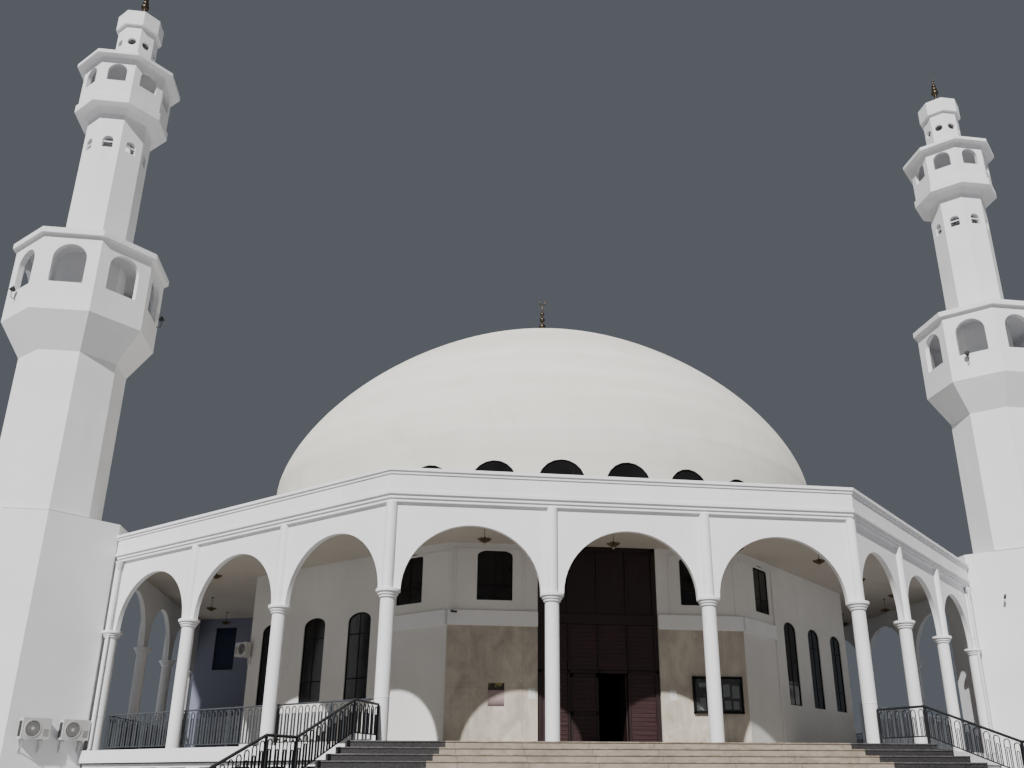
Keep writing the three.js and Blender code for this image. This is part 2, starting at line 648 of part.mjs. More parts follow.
function lowerGallery() {
  const a = LOWER_GALLERY_APOTHEM;
  const top = LOWER_GALLERY_TOP;
  const hole = UPPER_SHAFT_APOTHEM + GAP;
  const room = octagonal([
    [a - 0.22, LOWER_GALLERY_FLOOR + GAP], [a, LOWER_GALLERY_FLOOR + GAP], [a, top],
    [a + 0.16, top], [a + 0.16, top + 0.23], [hole, top + 0.33], [hole, top], [a - 0.22, top],
  ]);
  return room.subtract(archRing(a, LOWER_ARCH));
}

function upperShaft() {
  const a = UPPER_SHAFT_APOTHEM;
  const inner = a - 0.2;
  const well = LANTERN_APOTHEM - 0.15;
  const { coveTop, edge, underside } = UPPER_SLAB;
  const shaft = octagonal([
    [inner, LOWER_GALLERY_FLOOR + GAP], [a, LOWER_GALLERY_FLOOR + GAP], [a, UPPER_COVE_START],
    [coveTop, underside], [edge, underside], [edge, UPPER_GALLERY_FLOOR], [well, UPPER_GALLERY_FLOOR],
    [well, UPPER_GALLERY_FLOOR - 0.25], [inner, UPPER_COVE_START - 0.1],
  ]);
  return shaft.subtract(archRing(a, SHAFT_ARCH));
}

function upperGallery() {
  const a = UPPER_GALLERY_APOTHEM;
  const top = UPPER_GALLERY_TOP;
  const room = octagonal([
    [a - 0.18, UPPER_GALLERY_FLOOR + GAP], [a, UPPER_GALLERY_FLOOR + GAP], [a, top],
    [a + 0.33, top], [a + 0.33, top + 0.16], [LANTERN_APOTHEM + 0.1, LANTERN_FOOT], [0, LANTERN_FOOT],
    [0, top], [a - 0.18, top],
  ]);
  return room.subtract(archRing(a, UPPER_ARCH));
}

function lantern() {
  const a = LANTERN_APOTHEM;
  const foot = LANTERN_FOOT + GAP;
  const body = octagonal([
    [0, LANTERN_CAP_TOP + 0.15], [0.18, LANTERN_CAP_TOP + 0.15], [0.4, LANTERN_CAP_TOP],
    [LANTERN_CAP_APOTHEM, LANTERN_CAP_TOP - 0.2], [LANTERN_CAP_APOTHEM, LANTERN_CAP_BOTTOM],
    [a, LANTERN_CAP_BOTTOM], [a, foot], [a - 0.12, foot], [a - 0.12, LANTERN_CAP_BOTTOM],
    [0, LANTERN_CAP_BOTTOM],
  ]);
  const drum = new THREE.CylinderGeometry(LANTERN_HOLE.radius, LANTERN_HOLE.radius, 1, 8);
  const hole = solid(drum.translate(0, -a, LANTERN_HOLE.centre));
  const holes = [];
  for (let face = 0; face < SIDES; face += 1) holes.push(turned(hole, face));
  return body.subtract(join(holes));
}

function minaret(side) {
  const name = side < 0 ? 'minaret_left' : 'minaret_right';
  const x = side * MINARET_X;
  const parts = {
    base: minaretBase(side), lower_shaft: lowerShaft(), lower_gallery: lowerGallery(),
    upper_shaft: upperShaft(), upper_gallery: upperGallery(), lantern: lantern(),
  };
  for (const [part, body] of Object.entries(parts)) piece(`${name}_${part}`, body, plaster, x, MINARET_Y);
  piece(`${name}_finial`, finial(LANTERN_CAP_TOP + 0.15, MINARET_TOP), bronze, x, MINARET_Y);
}

podium();
stair();
arcade();
parapetAndRoof();
railings();
hall();
crossWall();
entrance();
dome();
piece('dome_finial', finial(DOME_SPRING + DOME_RISE, FINIAL_TOP), bronze);
minaret(-1);
minaret(1);

building.scale.setScalar(MM_PER_DRAWN_M);

export default building;
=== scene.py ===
import bpy
import bmesh
from math import copysign, cos, hypot, pi, radians, sin, sqrt, tan
from mathutils import Matrix, Vector


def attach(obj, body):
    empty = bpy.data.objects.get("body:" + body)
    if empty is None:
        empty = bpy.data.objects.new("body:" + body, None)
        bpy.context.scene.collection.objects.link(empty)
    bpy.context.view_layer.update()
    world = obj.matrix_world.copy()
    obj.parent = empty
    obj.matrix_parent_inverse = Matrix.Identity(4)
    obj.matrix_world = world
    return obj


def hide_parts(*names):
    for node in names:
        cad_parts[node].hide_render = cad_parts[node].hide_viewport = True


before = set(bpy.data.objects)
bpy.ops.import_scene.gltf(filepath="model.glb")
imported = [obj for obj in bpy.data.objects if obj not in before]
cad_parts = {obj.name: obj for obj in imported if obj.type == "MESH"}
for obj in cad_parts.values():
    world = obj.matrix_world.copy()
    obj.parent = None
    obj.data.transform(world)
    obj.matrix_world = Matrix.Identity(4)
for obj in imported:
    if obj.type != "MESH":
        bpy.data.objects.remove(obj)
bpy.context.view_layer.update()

# The part is a 1:2 model. The sizes below are in a drawing metre that is 0.92 of a real one,
# and SCALE turns them into the row frame. X runs to the right, Y to the back, Z up, and the
# stair faces -Y. The sides of an octagon are numbered from 0 at the front, rising to the right.
SCALE = 0.46
EIGHTH = pi / 4
HALF_EIGHTH = pi / 8
TAN = tan(HALF_EIGHTH)
GAP = 0.0008
MITRE_GAP = 0.0006
SIDES = ((-1, "left"), (1, "right"))

# Arcade and gallery
BAY = 4.75
HALF_SIDE = 1.5 * BAY
APOTHEM = HALF_SIDE / TAN
FLOOR = 2.82
FLOOR_UNDERSIDE = 2.41
FLOOR_EDGE = APOTHEM + 0.33
PODIUM_FACE = APOTHEM + 0.25
CAPITAL_TOP = 6.97
COLUMN_RADIUS = 0.21
HALF_ROUND_RADIUS = 0.16
PIER_WIDTH = 0.279
# Width, drop of the underside below the capital's top and height of each ring
CAPITAL_RINGS = ((0.26, 0.24, 0.07), (0.3, 0.17, 0.08), (0.355, 0.09, 0.09))
ARCH_HALF_SPAN = 2.033
ARCH_RISE = 1.94
ARCADE_DEPTH = 0.17
CORNICE_BOTTOM = 9.53
RAIL_TOP = FLOOR + 1.17
RAIL_LINE = APOTHEM - 0.32
LOOP_SPACING = 0.3
LAMP_LINE = 15.1
LAMP_SPACING = 4.2
LAMP_DROP = 0.48

# Hall: windows by sill, head, width and rise, over the floor
HALL = 12.5
HALL_DEPTH = 0.3
CORNER = HALL * TAN
TALL_WINDOW = (1.64, 4.7, 1.17, 0.3)
UPPER_WINDOW = (4.74, 6.48, 1.22, 0.22)
PORTAL_HALF = 2.1
CLADDING_FACE = HALL + 0.03
CLADDING_TOP = FLOOR + 3.88
BAND_FACE = HALL + 0.1
BAND_TOP = FLOOR + 4.38
SURROUND_FACE = HALL + 0.035
# Left, right, foot and head on the wall
POSTER = (-3.75, -3.21, FLOOR + 1.3, FLOOR + 2.03)
NOTICE_BOARD = (3.2, 4.95, FLOOR + 1.13, FLOOR + 2.33)
DOOR_TOP = FLOOR + 2.4
HINGE_X = 0.977
SCREEN = HALL - 0.05
SCREEN_DEPTH = 0.16
BOARD_HEIGHT = 0.14

# Dome
DOME_RADIUS = 12.66
DOME_SPRING = 14.0
DOME_RISE = 9.0
DOME_SHELL = 0.25
DOME_POWER = 1.24
DOME_FINIAL_TOP = 25.88
LUNETTES = 32
LUNETTE_SILL = 11.81
LUNETTE_RADIUS = 0.87

# Minarets
MINARET_X = 20.37
MINARET_Y = -7.07
BASE_APOTHEM = 2.0
BASE_JOINT = 11.0
LOWER_GALLERY_HALF = 2.65
LOWER_GALLERY_FLOOR = 18.77
LOWER_GALLERY_TOP = 22.05
SHAFT_HALF = 1.23
UPPER_COVE = 29.1
UPPER_SLAB = 29.35
UPPER_GALLERY_HALF = 1.72
UPPER_GALLERY_FLOOR = 29.72
UPPER_GALLERY_TOP = 31.75
LANTERN_FOOT = UPPER_GALLERY_TOP + 0.3
LANTERN_TOP = 34.45
LANTERN_HALF = 0.8
LANTERN_CAP_TOP = 35.44
TOWER_TOP = 37.3

# Stair
RISER = FLOOR / 17
TREAD = 0.41
UPPER_STEPS = 5
LOWER_STEPS = 10
LANDING_DEPTH = 1.45
LANDING_FRONT = APOTHEM + 1.95
STAIR_HALF = 7.95
STAIR_SPREAD = 0.49
STONE_HALF = 5.45
STONE_SPREAD = 0.415

# Stage, light and camera
STAGE_REACH = 160.0
STAGE_DROP = 0.002
SKY_COLOR = (0.77, 0.85, 0.98, 1.0)
SKY_STRENGTH = 0.13
SUN_STRENGTH = 6.2
SUN_COLOR = (1.0, 0.98, 0.955)
SUN_ANGLE = radians(1.0)
SUN_TRAVEL = (2.19, 4.85, -4.39)
EYE = (-6.87834, -44.53831, 1.9828)
PITCH, YAW, ROLL = 0.37542, 0.14903, 0.00049
PHOTO_WIDTH = 1024
FOCAL_PIXELS = 941.213
SENSOR_WIDTH = 36.0
LENS_SHIFT = (-0.02603, 0.02110)
VIEW_DEPTH = 400.0


# Shapes

class Shape:
    """Vertices and faces in drawing metres."""

    def __init__(self):
        self.verts = []
        self.faces = []

    def add(self, verts, faces, place=None):
        base = len(self.verts)
        self.verts += [place @ Vector(v) if place else Vector(v) for v in verts]
        self.faces += [tuple(base + i for i in f) for f in faces]

    def box(self, x0, x1, y0, y1, z0, z1, place=None):
        verts = [(x, y, z) for z in (z0, z1) for y in (y0, y1) for x in (x0, x1)]
        faces = [(0, 2, 3, 1), (4, 5, 7, 6), (0, 1, 5, 4), (2, 6, 7, 3), (0, 4, 6, 2), (1, 3, 7, 5)]
        self.add(verts, faces, place)

    def post(self, x, y, half, z0, z1, place=None):
        self.box(x - half, x + half, y - half, y + half, z0, z1, place)

    def lathe(self, profile, sides, place=None, start=0.0):
        """A closed [radius, height] loop turned about Z."""
        verts = []
        faces = []
        n = len(profile)
        for s in range(sides):
            a = start + 2 * pi * s / sides
            verts += [(r * sin(a), -r * cos(a), z) for r, z in profile]
            t = (s + 1) % sides
            faces += [(s * n + i, t * n + i, t * n + (i + 1) % n, s * n + (i + 1) % n) for i in range(n)]
        self.add(verts, faces, place)

    def octagonal(self, profile, place=None):
        k = 1 / cos(HALF_EIGHTH)
        self.lathe([(a * k, z) for a, z in profile], 8, place, HALF_EIGHTH)

    def tube(self, points, radius, sides, place=None, closed=False):
        """A round bar along points. radius is a number or a list with one for each point."""
        pts = [Vector(p) for p in points]
        n = len(pts)
        radii = radius if isinstance(radius, list) else [radius] * n
        verts = []
        up = None
        for i, p in enumerate(pts):
            before = pts[i - 1] if i or closed else p
            after = pts[(i + 1) % n] if i < n - 1 or closed else p
            along = (after - before).normalized()
            if up is None:
                guess = Vector((0, 0, 1)) if abs(along.z) < 0.9 else Vector((1, 0, 0))
                up = along.cross(guess).cross(along).normalized()
            else:
                up = (up - along * up.dot(along)).normalized()
            side = along.cross(up)
            for s in range(sides):
                a = 2 * pi * s / sides
                verts.append(p + (up * cos(a) + side * sin(a)) * radii[i])
        faces = []
        for i in range(n if closed else n - 1):
            j = (i + 1) % n
            for s in range(sides):
                t = (s + 1) % sides
                faces.append((i * sides + s, i * sides + t, j * sides + t, j * sides + s))
        if not closed:
            faces.append(tuple(range(sides)))
            faces.append(tuple((n - 1) * sides + s for s in range(sides)))
        self.add(verts, faces, place)


def shapes(count):
    return [Shape() for _ in range(count)]


def turn(face):
    return Matrix.Rotation(face * EIGHTH, 4, "Z")


def shift(x=0.0, y=0.0, z=0.0):
    return Matrix.Translation((x, y, z))


def upright(place, x, y, z):
    """Stands a lathe's axis level, pointing out of a wall."""
    return place @ shift(x, y, z) @ Matrix.Rotation(pi / 2, 4, "X")


def circle(radius, z, count):
    """Points round a circle about Z."""
    turns = [2 * pi * k / count for k in range(count)]
    return [(radius * cos(a), radius * sin(a), z) for a in turns]


def flat(face, outer):
    """Places (x, depth, z) on a face of an octagon, depth running inwards from outer."""
    turned = turn(face)
    return lambda x, d, z: turned @ Vector((x, d - outer, z))


def curved(radius):
    """Places (x, depth, z) on a drum, x measured round its outside."""
    def place(x, d, z):
        a = x / radius
        r = radius - d
        return Vector((r * sin(a), -r * cos(a), z))
    return place


def arch(x, sill, head, width, rise, steps=12):
    spring = head - rise
    half = width / 2

    def top(u):
        k = min(1.0, abs(u - x) / half)
        return spring + rise * sqrt(max(0.0, 1 - k * k))
    bottom = None if sill is None else lambda u: sill
    return {"x": x, "half": half, "bottom": bottom, "top": top, "steps": steps}


def round_hole(x, z, radius, steps=14):
    def reach(u):
        return sqrt(max(0.0, radius * radius - (u - x) ** 2))
    return {"x": x, "half": radius, "bottom": lambda u: z - reach(u), "top": lambda u: z + reach(u),
            "steps": steps}


def pierced_wall(shape, place, x0, x1, z0, z1, depth, holes=(), taper=0.0, ring=False, extra=()):
    """A wall with holes through it. taper shortens its inner face at both ends, for a mitre."""
    rows = []
    for h in holes:
        turns = [pi * k / h["steps"] for k in range(h["steps"] + 1)]
        rows.append([h["x"] - h["half"] * cos(a) for a in turns])
    spans = [(row[0], row[-1], h) for row, h in zip(rows, holes)]
    clear = {x for x in (x0, x1, *extra) if not any(row[0] < x < row[-1] for row in rows)}
    xs = sorted(clear.union(*rows))

    def pt(x, d, z):
        moved = x + taper * d if x == x0 else x - taper * d if x == x1 else x
        return place(moved, d, z)

    def quad(*corners):
        shape.add([pt(*c) for c in corners], [(0, 1, 2, 3)])

    def over(a, za, b, zb):
        quad((a, 0, za), (b, 0, zb), (b, depth, zb), (a, depth, za))

    def under(a, za, b, zb):
        quad((a, 0, za), (a, depth, za), (b, depth, zb), (b, 0, zb))

    for a, b in zip(xs, xs[1:]):
        mid = (a + b) / 2
        hole = next((h for lo, hi, h in spans if lo < mid < hi), None)
        bands = [(z0, z0, z1, z1)]
        if hole:
            ta, tb = hole["top"](a), hole["top"](b)
            bands = [(ta, tb, z1, z1)]
            over(a, ta, b, tb)
            if hole["bottom"]:
                ba, bb = hole["bottom"](a), hole["bottom"](b)
                bands.append((z0, z0, ba, bb))
                under(a, ba, b, bb)
        for la, lb, ha, hb in bands:
            quad((a, 0, la), (b, 0, lb), (b, 0, hb), (a, 0, ha))
            quad((a, depth, la), (a, depth, ha), (b, depth, hb), (b, depth, lb))
            if la == z0:
                under(a, z0, b, z0)
        over(a, z1, b, z1)
    for lo, hi, h in spans:
        for x in (lo, hi):
            low = h["bottom"](x) if h["bottom"] else z0
            high = h["top"](x)
            if high - low > 1e-6:
                under(x, low, x, high)
    if not ring:
        under(x0, z0, x0, z1)
        under(x1, z0, x1, z1)


def piece(name, shape, material, node=None, smooth=35.0, bevel=0.0, body="building"):
    """Makes an object of the shape, in the row frame, that rides on a CAD body and may replace a node."""
    mesh = bpy.data.meshes.new(name)
    mesh.from_pydata([v * SCALE for v in shape.verts], [], shape.faces)
    bm = bmesh.new()
    bm.from_mesh(mesh)
    bmesh.ops.remove_doubles(bm, verts=bm.verts, dist=1e-5)
    bmesh.ops.dissolve_degenerate(bm, edges=bm.edges, dist=1e-6)
    bmesh.ops.recalc_face_normals(bm, faces=bm.faces)
    bm.to_mesh(mesh)
    bm.free()
    for polygon in mesh.polygons:
        polygon.use_smooth = True
    mesh.set_sharp_from_angle(angle=radians(smooth))
    obj = bpy.data.objects.new(name, mesh)
    bpy.context.scene.collection.objects.link(obj)
    mesh.materials.append(material)
    if bevel:
        soft = obj.modifiers.new("edges", "BEVEL")
        soft.width = bevel * SCALE
        soft.segments = 2
        soft.limit_method = "ANGLE"
        soft.angle_limit = radians(40)
    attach(obj, body)
    if node:
        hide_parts(node)


# Materials

def shade(color, k):
    return tuple(c * k for c in color)


class Nodes:
    """Short calls for a procedural material."""

    def __init__(self, name):
        self.material = bpy.data.materials.new(name)
        self.material.use_nodes = True
        self.tree = self.material.node_tree
        self.shader = next(n for n in self.tree.nodes if n.type == "BSDF_PRINCIPLED")
        self.coords = self.tree.nodes.new("ShaderNodeTexCoord").outputs["Object"]

    def put(self, value, socket):
        if isinstance(value, bpy.types.NodeSocket):
            self.tree.links.new(value, socket)
        elif socket.type == "RGBA":
            socket.default_value = (*value, 1.0)
        else:
            socket.default_value = value

    def make(self, kind, inputs, **settings):
        node = self.tree.nodes.new("ShaderNode" + kind)
        for key, value in settings.items():
            setattr(node, key, value)
        for key, value in inputs.items():
            self.put(value, node.inputs[key])
        return node

    def part(self, axis, vector=None):
        return self.make("SeparateXYZ", {0: vector or self.coords}).outputs[axis]

    def up(self):
        return self.part(2, self.make("NewGeometry", {}).outputs["Normal"])

    def scaled(self, x, y, z):
        return self.make("VectorMath", {0: self.coords, 1: (x, y, z)}, operation="MULTIPLY").outputs[0]

    def noise(self, scale, detail=4.0, rough=0.55, vector=None, distortion=0.0):
        inputs = {"Vector": vector or self.coords, "Scale": scale, "Detail": detail,
                  "Roughness": rough, "Distortion": distortion}
        return self.make("TexNoise", inputs).outputs["Fac"]

    def math(self, operation, a, b=0.0, clamp=False):
        return self.make("Math", {0: a, 1: b}, operation=operation, use_clamp=clamp).outputs[0]

    def times(self, a, b, clamp=True):
        return self.math("MULTIPLY", a, b, clamp)

    def minus(self, a, b):
        return self.math("SUBTRACT", a, b)

    def span(self, value, low, high, to_low=0.0, to_high=1.0):
        inputs = {"Value": value, "From Min": low, "From Max": high, "To Min": to_low, "To Max": to_high}
        return self.make("MapRange", inputs).outputs["Result"]

    def joint(self, value, low, high):
        """Thin lines where the value passes a whole number."""
        off = self.minus(self.math("FRACT", value), 0.5)
        return self.span(self.math("ABSOLUTE", off), low, high)

    def mix(self, factor, a, b):
        return self.make("Mix", {0: factor, 6: a, 7: b}, data_type="RGBA").outputs[2]

    def blend(self, a, b, value, low, high, most=1.0):
        """From colour a to colour b, by at most the given share, as value runs from low to high."""
        return self.mix(self.span(value, low, high, 0.0, most), a, b)

    def bump(self, height, distance, strength):
        node = self.make("Bump", {"Strength": strength, "Distance": distance, "Height": height})
        self.tree.links.new(node.outputs["Normal"], self.shader.inputs["Normal"])

    def finish(self, color, rough, metal=0.0, **sockets):
        inputs = {"Base Color": color, "Roughness": rough, "Metallic": metal}
        inputs.update((key.replace("_", " "), value) for key, value in sockets.items())
        for key, value in inputs.items():
            self.put(value, self.shader.inputs[key])
        return self.material


def plaster(name, color, grime=0.35, grime_color=(0.42, 0.41, 0.38), mottle=0.06, lump=0.0012):
    """Painted render: patchy paint, rain streaks and a fine trowelled surface."""
    n = Nodes(name)
    patches = n.noise(0.9, 5.0, 0.6)
    streaks = n.noise(3.0, 6.0, 0.65, n.scaled(1.0, 1.0, 0.12))
    light = tuple(min(1.0, c * (1 + 0.4 * mottle)) for c in color)
    base = n.blend(shade(color, 1 - mottle), light, patches, 0.35, 0.65)
    stain = n.times(n.span(streaks, 0.55, 0.78), grime)
    base = n.mix(n.times(stain, n.span(patches, 0.3, 0.7)), base, grime_color)
    fine = n.noise(60.0, 6.0, 0.7)
    broad = n.noise(7.0, 3.0, 0.5)
    n.bump(n.math("ADD", n.math("MULTIPLY", fine, 0.35), broad), lump, 0.5)
    return n.finish(base, n.span(fine, 0.3, 0.7, 0.72, 0.9), Specular_IOR_Level=0.3)


def dome_coat():
    """Weathered cream coating with level bands, streaks and a greyer foot."""
    n = Nodes("dome_coat")
    bands = n.noise(1.0, 4.0, 0.6, n.scaled(0.06, 0.06, 1.9))
    fine_bands = n.noise(1.0, 5.0, 0.6, n.scaled(0.3, 0.3, 7.0))
    patches = n.noise(1.3, 6.0, 0.65, distortion=0.4)
    streaks = n.noise(3.2, 5.0, 0.6, n.scaled(1.0, 1.0, 0.1))
    base = n.blend((0.70, 0.675, 0.615), (0.80, 0.785, 0.735), bands, 0.35, 0.65)
    base = n.blend(base, (0.745, 0.725, 0.675), fine_bands, 0.4, 0.62, 0.45)
    base = n.blend(base, (0.60, 0.565, 0.485), patches, 0.5, 0.75, 0.4)
    base = n.blend(base, (0.64, 0.62, 0.56), streaks, 0.55, 0.8, 0.35)
    low = n.span(n.part(2), 4.8, 7.2, 0.22, 0.0)
    base = n.mix(n.times(low, n.span(patches, 0.3, 0.6)), base, (0.5, 0.49, 0.45))
    grain = n.noise(45.0, 6.0, 0.7)
    n.bump(n.math("ADD", n.math("MULTIPLY", grain, 0.4), n.noise(4.0, 3.0)), 0.0025, 0.5)
    return n.finish(base, n.span(grain, 0.3, 0.7, 0.75, 0.92), Specular_IOR_Level=0.25)


def stair_stone():
    """Beige stone in the middle of the stair and black granite at its sides."""
    n = Nodes("stair_stone")
    run = n.minus(n.math("MULTIPLY", n.part(1), -1.0), LANDING_FRONT * SCALE)
    edge = n.math("ADD", n.math("MULTIPLY", run, STONE_SPREAD), STONE_HALF * SCALE)
    side = n.span(n.minus(n.math("ABSOLUTE", n.part(0)), edge), -0.002, 0.002)
    vein = n.noise(5.0, 7.0, 0.65, n.scaled(1.0, 1.0, 2.5), 0.6)
    patch = n.noise(1.6, 4.0, 0.6)
    fine = n.noise(70.0, 5.0, 0.7)
    beige = n.blend((0.24, 0.20, 0.16), (0.35, 0.30, 0.245), vein, 0.35, 0.65)
    beige = n.blend(beige, (0.17, 0.14, 0.11), patch, 0.5, 0.72, 0.5)
    joint = n.joint(n.math("MULTIPLY", n.part(0), 1.25), 0.490, 0.497)
    beige = n.mix(n.times(joint, 0.7), beige, (0.12, 0.105, 0.09))
    granite = n.blend((0.018, 0.017, 0.019), (0.06, 0.057, 0.056), fine, 0.45, 0.62)
    granite = n.blend(granite, (0.05, 0.044, 0.042), patch, 0.4, 0.7, 0.4)
    n.bump(n.minus(n.math("MULTIPLY", fine, 0.4), joint), 0.0015, 0.6)
    rough = n.minus(n.span(fine, 0.3, 0.7, 0.5, 0.68), n.math("MULTIPLY", side, 0.18))
    return n.finish(n.mix(side, beige, granite), rough)


def stone(name, dark, light, joints=0.0, scale=4.0, rough=0.6, deep=0.18):
    """Veined stone cladding. joints is the slab width in model metres, or 0, and deep its strength."""
    n = Nodes(name)
    vein = n.noise(scale, 8.0, 0.68, n.scaled(1.0, 1.0, 0.55), 0.9)
    cloud = n.noise(scale * 0.35, 4.0, 0.6)
    fine = n.noise(55.0, 6.0, 0.7)
    base = n.blend(dark, light, vein, 0.33, 0.66)
    base = n.blend(base, shade(dark, 0.7), cloud, 0.42, 0.7, 0.55)
    pores = n.span(fine, 0.62, 0.7, 0.0, 0.55)
    base = n.mix(pores, base, shade(dark, 0.5))
    height = n.minus(n.math("MULTIPLY", vein, 0.5), pores)
    if joints:
        column = n.math("ADD", n.math("DIVIDE", n.part(0), joints), 0.5)
        row = n.joint(n.math("DIVIDE", n.part(2), joints * 1.35), 0.491, 0.497)
        line = n.math("MAXIMUM", n.joint(column, 0.488, 0.495), row)
        base = n.mix(n.times(line, deep), base, shade(dark, 0.3))
        height = n.minus(height, n.math("MULTIPLY", line, deep))
    n.bump(height, 0.0015, 0.6)
    return n.finish(base, n.span(fine, 0.3, 0.7, rough - 0.1, rough + 0.12))


def slab_finish():
    """Main floor: stone tiles on top, painted render at its edge and underneath."""
    n = Nodes("main_floor_finish")
    top = n.span(n.up(), 0.5, 0.8)
    cloud = n.noise(2.2, 6.0, 0.65)
    fine = n.noise(60.0, 5.0, 0.7)
    streak = n.noise(3.0, 6.0, 0.65, n.scaled(1.0, 1.0, 0.2))
    tile = n.blend((0.22, 0.20, 0.17), (0.31, 0.285, 0.25), cloud, 0.35, 0.65)
    across, along = [n.joint(n.math("DIVIDE", axis, 0.3), 0.482, 0.49) for axis in (n.part(0), n.part(1))]
    lines = n.math("MAXIMUM", across, along)
    tile = n.mix(n.times(lines, 0.6), tile, (0.13, 0.12, 0.1))
    edge = n.blend((0.80, 0.805, 0.82), (0.55, 0.54, 0.52), streak, 0.5, 0.8, 0.3)
    n.bump(n.minus(n.math("MULTIPLY", fine, 0.4), n.times(lines, top)), 0.001, 0.5)
    return n.finish(n.mix(top, edge, tile), n.minus(0.85, n.math("MULTIPLY", top, 0.3)))


def paint(name, color, rough=0.45, metal=0.0, wear=0.3, worn=None, shine=0.5):
    n = Nodes(name)
    patches = n.noise(6.0, 6.0, 0.65)
    fine = n.noise(40.0, 5.0, 0.7)
    worn = worn or tuple(min(1.0, c * 1.5 + 0.01) for c in color)
    base = n.blend(color, worn, patches, 0.45, 0.75, wear)
    base = n.blend(base, shade(color, 0.75), fine, 0.4, 0.7, 0.25)
    n.bump(fine, 0.0006, 0.4)
    rough = n.span(patches, 0.3, 0.7, rough - 0.08, rough + 0.12)
    return n.finish(base, rough, metal, Specular_IOR_Level=shine)


def timber(name, dark, light, stretch):
    n = Nodes(name)
    grain = n.noise(3.0, 7.0, 0.65, n.scaled(*stretch), 0.7)
    board = n.noise(1.1, 3.0, 0.5)
    base = n.blend(dark, light, grain, 0.35, 0.65)
    base = n.blend(base, shade(dark, 0.6), board, 0.4, 0.7, 0.4)
    n.bump(grain, 0.0008, 0.5)
    return n.finish(base, n.span(grain, 0.3, 0.7, 0.42, 0.6), Specular_IOR_Level=0.4)


def window_glass(name, color):
    n = Nodes(name)
    cloud = n.noise(0.8, 3.0, 0.5)
    dust = n.noise(9.0, 6.0, 0.7, n.scaled(1.0, 1.0, 0.3))
    base = n.blend(color, shade(color, 1.9), cloud, 0.35, 0.65)
    base = n.blend(base, (0.1, 0.1, 0.11), dust, 0.55, 0.8, 0.06)
    n.bump(n.noise(0.7, 2.0, 0.4), 0.01, 0.15)
    return n.finish(base, n.span(dust, 0.4, 0.8, 0.06, 0.22), Specular_IOR_Level=0.35)


def clear_glass():
    n = Nodes("clear_glass")
    dust = n.noise(14.0, 5.0, 0.7)
    return n.finish(n.mix(dust, (0.55, 0.6, 0.62), (0.6, 0.62, 0.62)), n.span(dust, 0.4, 0.8, 0.03, 0.12),
                    Transmission_Weight=0.92, IOR=1.2)


def poster_finish():
    """A plain banded sheet of generic colours."""
    n = Nodes("poster_sheet")
    fade = n.span(n.part(2), POSTER[2] * SCALE, POSTER[3] * SCALE)
    patches = n.noise(11.0, 4.0, 0.6)
    base = n.blend((0.05, 0.03, 0.035), (0.34, 0.26, 0.25), fade, 0.0, 0.35)
    base = n.blend(base, (0.03, 0.022, 0.02), fade, 0.66, 0.7)
    marks = n.times(n.span(fade, 0.8, 0.82), n.span(patches, 0.45, 0.5))
    base = n.mix(marks, base, (0.3, 0.25, 0.08))
    base = n.blend(base, (0.2, 0.17, 0.14), patches, 0.5, 0.7, 0.35)
    return n.finish(base, 0.6)


GRAIN_UP = (14.0, 14.0, 0.8)
GRAIN_ACROSS = (0.8, 14.0, 14.0)
WHITE = plaster("white_render", (0.80, 0.805, 0.825), 0.22, lump=0.00012)
WALL = plaster("hall_render", (0.71, 0.70, 0.685), 0.3, (0.43, 0.41, 0.38))
SLATE = plaster("slate_render", (0.20, 0.21, 0.28), 0.2, (0.15, 0.15, 0.18))
TOWER = plaster("tower_render", (0.79, 0.795, 0.82), 0.26, (0.46, 0.46, 0.46), 0.05)
BASEMENT = plaster("podium_render", (0.77, 0.775, 0.79), 0.45, (0.38, 0.37, 0.34))
CEILING = plaster("ceiling_render", (0.56, 0.52, 0.465), 0.3, (0.40, 0.37, 0.33))
ROOF = plaster("roof_concrete", (0.42, 0.41, 0.39), 0.5, (0.25, 0.25, 0.24), 0.18, 0.003)
DOME = dome_coat()
STAIR = stair_stone()
FLOOR_FINISH = slab_finish()
TRAVERTINE = stone("travertine", (0.38, 0.335, 0.275), (0.62, 0.565, 0.485), 0.8, 3.4)
NOSING = stone("stair_nosing", (0.17, 0.135, 0.10), (0.36, 0.31, 0.25), 0.0, 9.0, 0.5)
GRANITE = stone("granite_nosing", (0.05, 0.05, 0.052), (0.12, 0.118, 0.118), 0.0, 14.0, 0.4)
IRON = paint("dark_iron", (0.022, 0.024, 0.028), 0.42, 0.35, 0.35, (0.06, 0.062, 0.066))
RAIL_GREY = paint("grey_iron", (0.07, 0.078, 0.09), 0.45, 0.3, 0.4, (0.14, 0.145, 0.155))
BRONZE = paint("dark_bronze", (0.075, 0.06, 0.042), 0.36, 0.9, 0.5, (0.17, 0.13, 0.085))
TIMBER = timber("dark_timber", (0.013, 0.006, 0.007), (0.026, 0.011, 0.012), GRAIN_UP)
BOARDS = timber("dark_boards", (0.024, 0.009, 0.011), (0.044, 0.017, 0.018), GRAIN_ACROSS)
GLASS = window_glass("dark_glass", (0.006, 0.0055, 0.006))
BLUE_GLASS = window_glass("blue_glass", (0.010, 0.014, 0.028))
FRAME = paint("window_frame", (0.007, 0.0065, 0.007), 0.6, 0.1, shine=0.15)
ENAMEL = paint("pale_enamel", (0.52, 0.52, 0.51), 0.4, 0.0, 0.3, (0.62, 0.62, 0.6))
DARK = paint("dark_grille", (0.035, 0.036, 0.036), 0.6, 0.1)
PIPE = paint("pipe_paint", (0.72, 0.725, 0.74), 0.5, 0.0, 0.3, (0.6, 0.6, 0.6))
LAMP = paint("lamp_bronze", (0.10, 0.075, 0.045), 0.5, 0.6, 0.5, (0.2, 0.15, 0.09))
